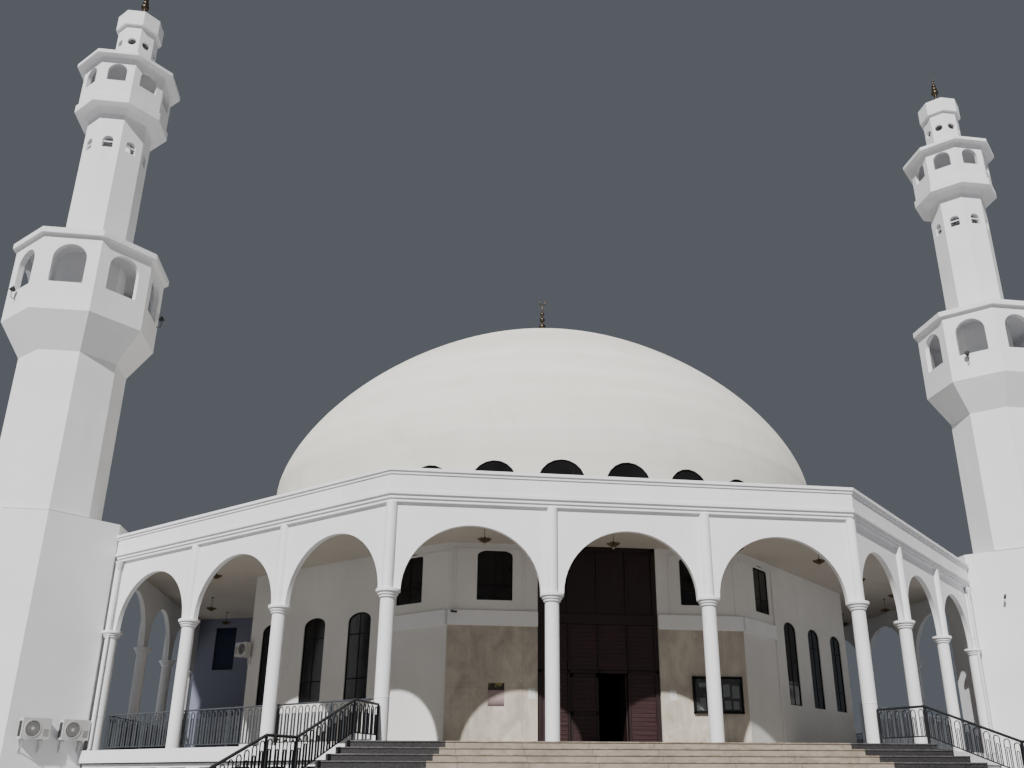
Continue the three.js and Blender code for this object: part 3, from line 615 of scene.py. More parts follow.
LAMP_GLASS = paint("lamp_glass", (0.42, 0.36, 0.26), 0.3)
PAPER = paint("paper", (0.62, 0.62, 0.62), 0.7, 0.0, 0.3, (0.55, 0.54, 0.5))


# Arcade

def column_profile(collar):
    """A plain shaft and three stacked rings. collar adds a thin ring at the railing's height."""
    r = COLUMN_RADIUS
    profile = [(0, FLOOR + GAP), (r, FLOOR + GAP)]
    if collar:
        profile += [(r, FLOOR + 1.16), (r + 0.006, FLOOR + 1.17), (r + 0.006, FLOOR + 1.2), (r, FLOOR + 1.21)]
    for wide, drop, height in CAPITAL_RINGS:
        low, high, neck = CAPITAL_TOP - drop, CAPITAL_TOP - drop + height, wide - 0.014
        profile += [(r, low), (neck, low), (wide - 0.004, low + 0.006), (wide, low + 0.02),
                    (wide, high - 0.02), (wide - 0.004, high - 0.006), (neck, high)]
        r = neck
    return profile + [(0, CAPITAL_TOP)]


def arcade_face(face, spots, pier, name, node):
    """One side of the arcade. spots holds its columns, and pier the end with a square pier, or 0."""
    wall, columns = shapes(2)
    outer = APOTHEM + ARCADE_DEPTH / 2
    reach = outer * TAN - MITRE_GAP
    foot = CAPITAL_TOP + GAP
    crown = CAPITAL_TOP + ARCH_RISE
    arches = [arch(c, None, crown, 2 * ARCH_HALF_SPAN, ARCH_RISE, 28) for c in (-BAY, 0, BAY)]
    pierced_wall(wall, flat(face, outer), -reach, reach, foot, CORNICE_BOTTOM, ARCADE_DEPTH, arches, TAN)
    piece(f"{name}_wall", wall, WHITE, node, smooth=30)
    for x in spots:
        columns.lathe(column_profile(abs(x) > BAY), 28, turn(face) @ shift(x, -APOTHEM))
    r = HALF_ROUND_RADIUS
    for x in (-0.5 * BAY, 0.5 * BAY, *[s for s in (-HALF_SIDE, HALF_SIDE) if s in spots]):
        k = 1.0 if abs(x) < BAY else outer / APOTHEM
        place = turn(face) @ shift(x * k, -outer)
        columns.lathe([(0, foot), (r, foot), (r, CORNICE_BOTTOM), (0, CORNICE_BOTTOM)], 24, place)
    if pier:
        near, far = sorted((pier * HALF_SIDE, pier * (HALF_SIDE + PIER_WIDTH)))
        half = ARCADE_DEPTH / 2
        columns.box(near, far, -APOTHEM - half, -APOTHEM + half, FLOOR + GAP, CAPITAL_TOP, turn(face))
    piece(f"{name}_columns", columns, WHITE, smooth=30)


def arcades():
    inner = [-0.5 * BAY, 0.5 * BAY]
    arcade_face(0, [-HALF_SIDE, *inner, HALF_SIDE], 0, "front_arcade", "arcade_front")
    for side, word in SIDES:
        for step, where in ((1, "front"), (2, "side"), (3, "rear")):
            arcade_face(side * step, [*inner, side * HALF_SIDE], side if step == 1 else 0,
                        f"{word}_{where}_arcade", f"arcade_{word}_{where}")
    arcade_face(4, inner, 0, "back_arcade", "arcade_back")


# Hall

def window(x, kind):
    sill, head, width, rise = kind
    return arch(x, FLOOR + sill, FLOOR + head, width, rise)


def hall_wall(node, face, x0, x1, holes, taper, panes):
    shape = Shape()
    pierced_wall(shape, flat(face, HALL), x0, x1, FLOOR + GAP, CORNICE_BOTTOM, HALL_DEPTH, holes, taper)
    piece(f"{node}_render", shape, WALL, node, smooth=30)
    window_frames(face, holes, panes, f"{node}_window_frames")


def hall_walls():
    panes = Shape()
    reach = CORNER - MITRE_GAP
    plain = [window(x, TALL_WINDOW) for x in (-3.63, -1.21, 1.21, 3.63)]

    def oblique(side):
        tall = [window(side * x, TALL_WINDOW) for x in (-0.97, 1.43, 3.88)]
        return tall + [window(side * -3.37, UPPER_WINDOW)]

    walls = {"left_front": (-1, oblique(-1)), "right_front": (1, oblique(1)), "left_side": (-2, plain),
             "left_rear": (-3, plain), "back": (4, plain), "right_rear": (3, plain), "right_side": (2, plain)}
    for name, (face, holes) in walls.items():
        hall_wall(f"hall_wall_{name}", face, -reach, reach, holes, TAN, panes)
    for side, word in SIDES:
        low, high = sorted((side * PORTAL_HALF, side * reach))
        hall_wall(f"hall_wall_front_{word}", 0, low, high, [window(side * 3.58, UPPER_WINDOW)], 0.0, panes)
    piece("hall_window_panes", panes, GLASS, "hall_window_glass", smooth=20)


def pane(outline, near, far, place):
    """A flat sheet with the given outline between two depths."""
    n = len(outline)
    verts = [place(x, d, z) for d in (near, far) for x, z in outline]
    faces = [(i, (i + 1) % n, n + (i + 1) % n, n + i) for i in range(n)]
    return verts, faces + [tuple(range(n)), tuple(range(2 * n - 1, n - 1, -1))]


def frame_bar(outline, centre, width, near, far, place):
    """A closed frame inside an outline, between two depths."""
    inner = []
    for x, z in outline:
        to = Vector((centre[0] - x, centre[1] - z))
        across = copysign(min(width, abs(to.x)), to.x) if abs(to.x) > 1e-6 else 0.0
        rise = to.y * width / max(to.length, 1e-6) if abs(to.y) > 1e-6 else 0.0
        inner.append((x + across, z + rise))
    n = len(outline)
    verts = [place(x, d, z) for d in (near, far) for x, z in outline + inner]
    faces = []
    for i in range(n):
        j = (i + 1) % n
        faces += [(i, j, n + j, n + i), (2 * n + i, 3 * n + i, 3 * n + j, 2 * n + j),
                  (i, 2 * n + i, 2 * n + j, j), (n + i, n + j, 3 * n + j, 3 * n + i)]
    return verts, faces


def window_frames(face, holes, panes, name):
    """A thin dark frame near the wall's outer face, its bars, and the pane behind them."""
    shape = Shape()
    steps = 12
    bar_near, bar_far, bar_half = 0.035 - HALL, 0.052 - HALL, 0.018
    for hole in holes:
        c, half, top = hole["x"], hole["half"], hole["top"]
        sill, head = hole["bottom"](c), top(c)
        rim = [c + half * cos(pi * k / steps) for k in range(steps + 1)]
        outline = [(c - half, sill), (c + half, sill)] + [(x, top(x)) for x in rim]
        shape.add(*frame_bar(outline, (c, (sill + head) / 2), 0.04, 0.03, 0.08, flat(face, HALL)))
        panes.add(*pane(outline, 0.052, 0.06, flat(face, HALL)))
        for z in [sill + 0.75, sill + 2.3] if head - sill > 2 else [sill + 0.5]:
            shape.box(c - half, c + half, bar_near, bar_far, z - bar_half, z + bar_half, turn(face))
        shape.box(c - 0.015, c + 0.015, bar_near + 0.002, bar_far, sill, head, turn(face))
    piece(name, shape, FRAME, smooth=40)


def hall_trim():
    """Stone cladding, a projecting band and shallow window surrounds on the front walls."""
    cladding, band, surround = shapes(3)
    end = CORNER - 0.02
    for side, _ in SIDES:
        low, high = sorted((side * PORTAL_HALF, side * end))
        cladding.box(low, high, -CLADDING_FACE, -HALL, FLOOR + GAP, CLADDING_TOP)
        band.box(low, high, -BAND_FACE, -HALL, CLADDING_TOP, BAND_TOP)
        x0, x1 = sorted((side * 2.55, side * 5.0))
        for a, b, c, d in ((x0, x1, 6.43, 6.51), (x0, x0 + 0.08, 4.44, 6.43), (x1 - 0.08, x1, 4.44, 6.43)):
            surround.box(a, b, -SURROUND_FACE, -HALL, FLOOR + c, FLOOR + d)
        place = turn(side)
        edge = -side * 2.47
        low, high = sorted((edge, -side * end))
        band.box(low, high, -BAND_FACE, -HALL, CLADDING_TOP, BAND_TOP, place)
        near, far = sorted((edge, edge + side * 0.09))
        surround.box(near, far, -HALL - 0.06, -HALL, FLOOR + GAP, FLOOR + 6.4, place)
        surround.box(low, high, -SURROUND_FACE, -HALL, FLOOR + 6.34, FLOOR + 6.42, place)
    piece("front_stone_cladding", cladding, TRAVERTINE, bevel=0.006)
    piece("front_projecting_band", band, WHITE, bevel=0.01)
    piece("window_surrounds", surround, WALL, bevel=0.008)


def barred_frame(shape, x0, x1, y0, y1, z0, z1, width, bar_half, place=None):
    """A square frame with an upright bar in its middle."""
    mid = (x0 + x1) / 2
    for a, b, c, d in ((x0, x1, z0, z0 + width), (x0, x1, z1 - width, z1), (x0, x0 + width, z0, z1),
                       (x1 - width, x1, z0, z1), (mid - bar_half, mid + bar_half, z0, z1)):
        shape.box(a, b, y0, y1, c, d, place)


def notices():
    """Papers beside the door, a small poster, and a glazed notice board with its papers."""
    papers, poster, board, sheets, cover = shapes(5)
    y = -CLADDING_FACE
    for x in (-2.3, 2.52):
        papers.box(x - 0.115, x + 0.115, y - 0.004, y, FLOOR + 1.54, FLOOR + 1.88)
    piece("door_papers", papers, PAPER)
    poster.box(*POSTER[:2], y - 0.006, y, *POSTER[2:])
    piece("left_poster", poster, poster_finish())
    x0, x1, z0, z1 = NOTICE_BOARD
    barred_frame(board, x0, x1, y - 0.1, y, z0, z1, 0.08, 0.03)
    board.box(x0 + 0.02, x1 - 0.02, y - 0.02, y, z0 + 0.02, z1 - 0.02)
    piece("notice_board_frame", board, FRAME, bevel=0.008)
    for a, b, c, d in ((3.42, 3.66, 0.85, 1.0), (3.74, 3.98, 0.55, 0.9), (3.42, 3.64, 0.12, 0.5),
                       (4.27, 4.5, 0.55, 0.95), (4.58, 4.83, 0.5, 0.9), (4.3, 4.52, 0.14, 0.42),
                       (4.6, 4.8, 0.14, 0.4)):
        sheets.box(a, b, y - 0.026, y - 0.02, z0 + c, z0 + d)
    piece("notice_board_papers", sheets, PAPER)
    cover.box(x0 + 0.06, x1 - 0.06, y - 0.07, y - 0.062, z0 + 0.06, z1 - 0.06)
    piece("notice_board_glass", cover, clear_glass())


# Entrance

def portal():
    """The timber screen: posts and rails, grooved boards, and plain panels over the upper rail."""
    rails, boards, panels = shapes(3)
    half = PORTAL_HALF - GAP
    y0, y1 = -SCREEN, -SCREEN + SCREEN_DEPTH
    head = CORNICE_BOTTOM - 0.14
    lintel0, lintel1 = FLOOR + 4.02, FLOOR + 4.36
    for x in (-half, half - 0.16):
        rails.box(x, x + 0.16, y0, y1, FLOOR + GAP, CORNICE_BOTTOM)
    rails.box(-half, half, y0, y1, head, CORNICE_BOTTOM)
    rails.box(-half, half, y0 - 0.02, y1, lintel0, lintel1)
    rails.box(-half, half, y0, y1, DOOR_TOP, DOOR_TOP + 0.1)
    for x in (-1.07, 0.99):
        rails.box(x, x + 0.08, y0, y1, FLOOR + GAP, lintel0)
    rails.box(-0.04, 0.04, y0, y1, DOOR_TOP, lintel0)
    for x in (-1.07, -0.04, 0.99):
        rails.box(x, x + 0.08, y0 + 0.01, y1, lintel1, head)
    piece("portal_frame", rails, TIMBER, "door_screen", bevel=0.012)
    bays = ((-1.94, -1.07), (1.07, 1.94), (-0.99, -0.04), (0.04, 0.99))
    for x0, x1 in bays:
        low = FLOOR + 0.02 if abs(x0 + x1) > 2 else DOOR_TOP + 0.1
        ribbed(boards, x0, x1, y0 + 0.04, y1 - 0.02, low, lintel0)
    for x0, x1 in sorted(bays):
        panels.box(x0, x1, y0 + 0.06, y1 - 0.04, lintel1, head)
    piece("portal_boards", boards, BOARDS, bevel=0.006)
    piece("portal_upper_panels", panels, TIMBER, bevel=0.006)


def door_leaf(side, word, angle):
    """A framed and grooved leaf on its hinge pin, drawn at the given angle from closed."""
    leaf, grooved, metal = shapes(3)
    hinge_y = SCREEN_DEPTH - SCREEN - 0.02
    place = shift(side * HINGE_X, hinge_y) @ Matrix.Rotation(radians(angle), 4, "Z")
    low, high = FLOOR + 0.013, DOOR_TOP - 0.013
    rail0, rail1 = FLOOR + 1.05, FLOOR + 1.17
    free = -side * (HINGE_X - 0.0065)
    x0, x1 = sorted((0.0, free))
    for a, b, c, d in ((x0, x0 + 0.1, low, high), (x1 - 0.1, x1, low, high), (x0, x1, low, low + 0.16),
                       (x0, x1, high - 0.12, high), (x0, x1, rail0, rail1)):
        leaf.box(a, b, -0.05, 0.0, c, d, place)
    for z0, z1 in ((low + 0.16, rail0), (rail1, high - 0.12)):
        ribbed(grooved, x0 + 0.1, x1 - 0.1, -0.04, -0.01, z0, z1, place)
    for z in (FLOOR + 0.3, FLOOR + 1.2, FLOOR + 2.1):
        metal.tube([(0, 0, z - 0.06), (0, 0, z + 0.06)], 0.0118, 12, place)
    hand = free + side * 0.05
    pull = [(-0.05, 0.98), (-0.072, 0.99), (-0.072, 1.24), (-0.05, 1.25)]
    metal.tube([(hand, y, FLOOR + z) for y, z in pull], 0.008, 10, place)
    body = f"door_leaf_{word}"
    piece(f"{word}_leaf_frame", leaf, TIMBER, body, bevel=0.006, body=body)
    piece(f"{word}_leaf_boards", grooved, BOARDS, bevel=0.004, body=body)
    piece(f"{word}_leaf_fittings", metal, BRONZE, body=body)


def ribbed(shape, x0, x1, y0, y1, z0, z1, place=None):
    """Horizontal boards with a groove between them."""
    count = max(1, round((z1 - z0) / BOARD_HEIGHT))
    step = (z1 - z0) / count
    for n in range(count):
        low = z0 + n * step
        shape.box(x0, x1, y0, y1, low + 0.006, low + step - 0.006, place)
    shape.box(x0, x1, y0 + 0.012, y1 - 0.004, z0, z1, place)


# Dome

def dome():
    drum, cap, trims, panes = shapes(4)
    foot = CORNICE_BOTTOM + 0.25 + 2 * GAP
    around = 2 * pi * DOME_RADIUS
    sill, r = LUNETTE_SILL, LUNETTE_RADIUS
    windows = [arch((n + 0.5) * around / LUNETTES, sill, sill + r, 2 * r, r, 10) for n in range(LUNETTES)]
    extra = [n * around / (2 * LUNETTES) for n in range(2 * LUNETTES + 1)]
    pierced_wall(drum, curved(DOME_RADIUS), 0.0, around, foot, DOME_SPRING, DOME_SHELL, windows,
                 ring=True, extra=extra)
    steps = 40
    outside = []
    inside = []
    for n in range(steps + 1):
        a = n / steps * pi / 2
        c, s = max(0.0, cos(a)) ** DOME_POWER, sin(a) ** DOME_POWER
        outside.append((DOME_RADIUS * c, DOME_SPRING + DOME_RISE * s))
        inside.append(((DOME_RADIUS - DOME_SHELL) * c, DOME_SPRING + (DOME_RISE - DOME_SHELL) * s))
    cap.lathe(outside + inside[::-1], 128)
    piece("dome_drum", drum, DOME, "dome", smooth=50)
    piece("dome_cap", cap, DOME, smooth=60)
    turns = [pi * k / 14 for k in range(15)]
    for n in range(LUNETTES):
        swing = Matrix.Rotation((n + 0.5) * 2 * pi / LUNETTES, 4, "Z")

        def sunk(x, d, z):
            return swing @ Vector((x, d - DOME_RADIUS, z))
        arc = [(-r * cos(a), sill + r * sin(a)) for a in turns]
        panes.add(*pane(arc[::-1], 0.062, 0.07, sunk))
        trims.tube([sunk(x * 0.985, 0.05, sill + (z - sill) * 0.985) for x, z in arc], 0.016, 6)
        trims.box(-r, r, 0.045 - DOME_RADIUS, 0.062 - DOME_RADIUS, sill, sill + 0.03, swing)
    piece("dome_window_panes", panes, GLASS, "dome_window_glass", smooth=20)
    piece("dome_window_frames", trims, FRAME, smooth=60)


def finial(name, node, x, y, foot, top):
    """A stem with three balls and an upturned crescent."""
    shape = Shape()
    height = top - foot
    moon = 0.065 * height
    stem = [(0.0, 0.0), (0.0, 0.16), (0.06, 0.16), (0.09, 0.07), (0.3, 0.05), (0.33, 0.07), (0.36, 0.05)]
    profile = [(r, foot + GAP + s * height) for s, r in stem]
    for share, radius in ((0.43, 0.178), (0.57, 0.138), (0.69, 0.108)):
        mid = foot + share * height
        turns = [-pi / 2 + pi * k / 8 for k in range(9)]
        profile += [(max(0.035, radius * cos(a)), mid + radius * sin(a)) for a in turns]
    profile += [(0.028, top - 2.0 * moon), (0, top - 2.0 * moon)]
    shape.lathe(profile, 20, shift(x, y))
    turns = [-pi / 2 + (k / 24 - 0.5) * 1.72 * pi for k in range(25)]
    points = [(x + 0.84 * moon * cos(a), y, top - moon + 0.84 * moon * sin(a)) for a in turns]
    radii = [0.006 + 0.15 * moon * sin(pi * k / 24) for k in range(25)]
    shape.tube(points, radii, 8)
    piece(name, shape, BRONZE, node, smooth=50)


# Railings

def hairpin(shape, a, b, top, radius, place=None):
    """An upturned U of round bar from foot a to foot b, with its crown at top."""
    half = hypot(b[0] - a[0], b[1] - a[1]) / 2
    mx, my = (a[0] + b[0]) / 2, (a[1] + b[1]) / 2
    points = [a]
    for k in range(9):
        t = pi * (1 - k / 8)
        share = cos(t)
        points.append((mx + (b[0] - a[0]) / 2 * share, my + (b[1] - a[1]) / 2 * share,
                       top - half + half * sin(t)))
    shape.tube(points + [b], radius, 6, place)


def gallery_rail(face, x0, x1, posts, iron, bars):
    """One side's handrail, lower rail, posts, and pairs of looped bars, a small one in a large one."""
    place = turn(face)
    y = -RAIL_LINE
    low = FLOOR + 0.12
    iron.tube([(x0, y, RAIL_TOP + 0.022), (x1, y, RAIL_TOP + 0.022)], 0.027, 10, place)
    iron.box(x0, x1, y - 0.014, y + 0.014, FLOOR + 0.1, FLOOR + 0.13, place)
    for x in posts:
        iron.post(x, y, 0.02, FLOOR + GAP, RAIL_TOP + 0.01, place)
    edges = sorted([x0, *posts, x1])
    for a, b in zip(edges, edges[1:]):
        count = round((b - a) / LOOP_SPACING)
        for n in range(count):
            c = a + (n + 0.5) * (b - a) / count
            for wide, drop, thick in ((0.084, 0.045, 0.017), (0.04, 0.24, 0.014)):
                hairpin(bars, (c - wide, y, low), (c + wide, y, low), RAIL_TOP - drop, thick, place)


def rail_pieces(iron, bars, name, node, material, smooth):
    piece(f"{name}_rail", iron, material, node, smooth=smooth)
    piece(f"{name}_bars", bars, material, smooth=60)


def gallery_railings():
    reach = RAIL_LINE * TAN
    out = RAIL_LINE / cos(HALF_EIGHTH)
    half_bays = [n * 0.5 * BAY for n in (-2, -1, 0, 1, 2)]
    for side, word in SIDES:
        iron, bars = shapes(2)
        for step in (1, 2, 3):
            gallery_rail(side * step, -reach, reach, half_bays, iron, bars)
        for step in (0.5, 1.5, 2.5, 3.5):
            iron.post(0, -out, 0.028, FLOOR + GAP, RAIL_TOP + 0.055, turn(side * step))
        rail_pieces(iron, bars, f"{word}_gallery", f"gallery_railing_{word}", RAIL_GREY, 35)
    iron, bars = shapes(2)
    gallery_rail(4, 0.15 - reach, reach - 0.15, [0.19 - reach, *half_bays, reach - 0.19], iron, bars)
    rail_pieces(iron, bars, "back_gallery", "gallery_railing_back", RAIL_GREY, 35)


def stair_half(front):
    return STAIR_HALF + STAIR_SPREAD * (front - LANDING_FRONT)


def stair_railings():
    upper_foot = LANDING_FRONT + UPPER_STEPS * TREAD
    landing_front = upper_foot + LANDING_DEPTH
    foot = landing_front + LOWER_STEPS * TREAD
    landing = FLOOR - (UPPER_STEPS + 1) * RISER
    plan = ((LANDING_FRONT - 0.1, FLOOR), (upper_foot + 0.2, landing), (landing_front - 0.15, landing),
            (foot - 0.2, RISER))
    for side, word in SIDES:
        iron, bars = shapes(2)
        stops = [Vector((side * (HALF_SIDE + 0.08), -APOTHEM - COLUMN_RADIUS - 0.05, FLOOR))]
        stops += [Vector((side * (stair_half(y) - 0.12), -y, z)) for y, z in plan]
        iron.tube([s + Vector((0, 0, 0.985)) for s in stops], 0.036, 12)
        iron.tube([s + Vector((0, 0, 0.2)) for s in stops], 0.018, 8)
        for s in stops:
            iron.post(s.x, s.y, 0.03, s.z + GAP, s.z + 0.97)
        for a, b in zip(stops, stops[1:]):
            stair_loops(bars, a, b)
        rail_pieces(iron, bars, f"{word}_stair", f"stair_railing_{word}", IRON, 45)


def stair_loops(bars, a, b):
    """Pairs of looped bars along a slope from stop a to stop b."""
    run = Vector((b.x - a.x, b.y - a.y)).length
    count = max(1, round((run - 0.1) / 0.26))
    share = 0.078 / run
    lift = Vector((0, 0, 0.2))
    for n in range(count):
        mid = (n + 0.5) / count
        for wide, drop, radius in ((1.0, 0.06, 0.015), (0.42, 0.26, 0.0125)):
            p, q = a.lerp(b, mid - share * wide) + lift, a.lerp(b, mid + share * wide) + lift
            hairpin(bars, p, q, a.lerp(b, mid).z + 0.97 - drop, radius)


# Stair

def stair_treads():
    """Thin slabs on the treads, with a lip over each riser."""
    centre, sides = shapes(2)

    def slab(front, back, level, lip=0.022):
        z0, z1 = level - 0.028, level + 0.006
        stone_half = STONE_HALF + STONE_SPREAD * (front - LANDING_FRONT)
        y0, y1 = -front - lip, -back
        centre.box(-stone_half, stone_half, y0, y1, z0, z1)
        for side, _ in SIDES:
            x0, x1 = sorted((side * (stone_half + 0.002), side * (stair_half(front) - 0.001)))
            sides.box(x0, x1, y0, y1, z0, z1)

    slab(LANDING_FRONT, APOTHEM + 0.4, FLOOR)
    front = LANDING_FRONT
    level = FLOOR
    depths = [TREAD] * UPPER_STEPS + [LANDING_DEPTH] + [TREAD] * LOWER_STEPS
    for n, depth in enumerate(depths, 1):
        front += depth
        level -= RISER
        slab(front, front - depth + 0.002, level, 0.022 if n < len(depths) else 0.0)
    piece("stair_centre_slabs", centre, NOSING, bevel=0.006)
    piece("stair_side_slabs", sides, GRANITE, bevel=0.006)


# Minarets

def storey(at, word, name, half, depth, z0, z1, hole, slab):
    """Eight walls with a hole in each, and the slab that lies on them."""
    shape = Shape()
    reach = half * TAN
    for face in range(8):
        wall = Shape()
        pierced_wall(wall, flat(face, half), -reach, reach, z0, z1, depth, [hole], TAN)
        shape.add(wall.verts, wall.faces, at)
    shape.octagonal(slab, at)
    piece(f"{word}_{name}_walls", shape, TOWER, f"minaret_{word}_{name}", smooth=30)


def minaret(side, word):
    at = shift(side * MINARET_X, MINARET_Y)
    top, eave, hub = LOWER_GALLERY_TOP, LOWER_GALLERY_HALF + 0.16, SHAFT_HALF + GAP
    storey(at, word, "lower_gallery", LOWER_GALLERY_HALF, 0.22, LOWER_GALLERY_FLOOR + GAP, top,
           arch(0, 19.96, 21.66, 1.27, 0.635, 16),
           [(hub, top), (eave, top), (eave, top + 0.23), (hub, top + 0.33)])
    cove, under, deck = UPPER_COVE, UPPER_SLAB, UPPER_GALLERY_FLOOR
    storey(at, word, "upper_shaft", SHAFT_HALF, 0.2, LOWER_GALLERY_FLOOR + GAP, cove,
           arch(0, 27.37, 27.95, 0.44, 0.22, 12),
           [(SHAFT_HALF, cove), (1.43, under), (1.8, under), (1.8, deck), (0.65, deck), (0.65, deck - 0.25),
            (SHAFT_HALF - 0.2, cove)])
    top, eave = UPPER_GALLERY_TOP, UPPER_GALLERY_HALF + 0.33
    storey(at, word, "upper_gallery", UPPER_GALLERY_HALF, 0.18, deck + GAP, top,
           arch(0, 30.55, 31.45, 0.8, 0.4, 14),
           [(0, top), (eave, top), (eave, top + 0.16), (0.9, LANTERN_FOOT), (0, LANTERN_FOOT)])
    cap, rim = LANTERN_TOP, LANTERN_CAP_TOP
    tip = rim + 0.15
    storey(at, word, "lantern", LANTERN_HALF, 0.12, LANTERN_FOOT + GAP, cap, round_hole(0, 33.55, 0.19),
           [(0, cap), (0.93, cap), (0.93, rim - 0.2), (0.4, rim), (0.18, tip), (0, tip)])
    finial(f"{word}_tower_finial", f"minaret_{word}_finial", side * MINARET_X, MINARET_Y, tip, TOWER_TOP)
    bars, joint, lamps = shapes(3)
    for face in range(8):
        bars.box(-0.21, 0.21, 0.05 - SHAFT_HALF, 0.1 - SHAFT_HALF, 27.66, 27.71, at @ turn(face))
    piece(f"{word}_shaft_window_bars", bars, TOWER)
    low, high = BASE_JOINT, BASE_JOINT + 0.05
    joint.octagonal([(1.84, low), (1.862, low), (1.862, high), (1.84, high)], at)
    piece(f"{word}_base_joint", joint, DARK)
    for face, x, z in ((-1, -0.25, 19.5), (2, 0.9, 19.9)):
        floodlight(lamps, at @ turn(face), x, z)
    piece(f"{word}_gallery_floodlights", lamps, DARK, smooth=45)


def floodlight(shape, place, x, z):
    """A small lamp on a short arm on the lower gallery's wall."""
    shape.tube([(x, -2.65, z), (x, -2.83, z + 0.04), (x, -2.88, z + 0.4)], 0.018, 8, place)
    bell = [(0, 0), (0.11, 0), (0.12, 0.03), (0.105, 0.06), (0.07, 0.17), (0.045, 0.2), (0, 0.2)]
    shape.lathe(bell, 16, place @ shift(x, -2.9, z + 0.45) @ Matrix.Rotation(radians(-125), 4, "X"))


# Fixtures

def star_lamps():
    """Small star lamps on thin stems under the gallery ceiling, one for each bay."""
    metal, bowl = shapes(2)
    z = CORNICE_BOTTOM
    low = z - LAMP_DROP
    stem = [(0, low), (0.05, low), (0.03, low + 0.05), (0.009, low + 0.07), (0.009, z - 0.06),
            (0.07, z - 0.03), (0.07, z - 0.013), (0, z - 0.013)]
    tip = [(0, low - 0.2), (0.03, low - 0.19), (0.045, low - 0.16), (0.035, low - 0.13), (0, low - 0.13)]
    n = 16
    points = []
    for k in range(n):
        r = 0.12 if k % 2 else 0.245
        points.append((r * cos(k * pi / 8), r * sin(k * pi / 8)))
    verts = [(x, y, low) for x, y in points] + [(x * 0.7, y * 0.7, low - 0.07) for x, y in points]
    verts.append((0, 0, low - 0.16))
    faces = [(k, (k + 1) % n, n + (k + 1) % n, n + k) for k in range(n)]
    faces += [(n + k, n + (k + 1) % n, 2 * n) for k in range(n)] + [tuple(range(n))[::-1]]
    for face in range(8):
        for x in (-LAMP_SPACING, 0.0, LAMP_SPACING):
            place = turn(face) @ shift(x, -LAMP_LINE)
            metal.add(verts, faces, place)
            metal.lathe(stem, 12, place)
            bowl.lathe(tip, 12, place)
    piece("star_lamps", metal, LAMP, smooth=20)
    piece("star_lamp_tips", bowl, LAMP_GLASS, smooth=60)


def ceiling():
    """The painted underside of the gallery roof."""
    shape = Shape()
    low, high = CORNICE_BOTTOM - 0.012, CORNICE_BOTTOM
    inner, outer = HALL + 0.001, APOTHEM - ARCADE_DEPTH / 2 - 0.002
    shape.octagonal([(inner, low), (outer, low), (outer, high), (inner, high)])
    piece("gallery_ceiling", shape, CEILING, smooth=20)


def downpipes():
    """Rainwater pipes with their hoppers in the corners beside the two bases."""
    shape = Shape()
    hopper = [(0, 0), (0.07, 0), (0.075, 0.05), (0.13, 0.16), (0.14, 0.28), (0.125, 0.28), (0.11, 0.2),
              (0, 0.2)]
    y = -APOTHEM - 0.22
    for side, _ in SIDES:
        place = turn(side)
        x = side * 6.98
        shape.tube([(x, y, FLOOR + 0.06), (x, y, 9.2), (x, y - 0.02, 9.5)], 0.055, 14, place)
        shape.lathe(hopper, 18, place @ shift(x, y - 0.02, 9.24))
        for z in (FLOOR + 1.2, FLOOR + 2.9, FLOOR + 4.6):
            shape.tube([(x, y, z - 0.02), (x, y, z + 0.02)], 0.066, 14, place)
            shape.box(x - 0.015, x + 0.015, y, y + 0.1, z - 0.015, z + 0.015, place)
    piece("rainwater_pipes", shape, PIPE, smooth=40)


def fan_guard(case, dark, lay, disc, radii, count, lift, wire):
    """A dark disc with rings of wire in front of it."""
    dark.lathe([(0, 0.004), (disc[0], 0.004), (disc[1], 0.0), (0, 0.0)], count + 4, lay)
    for radius in radii:
        case.tube(circle(radius, lift, count), wire, 6, lay, closed=True)


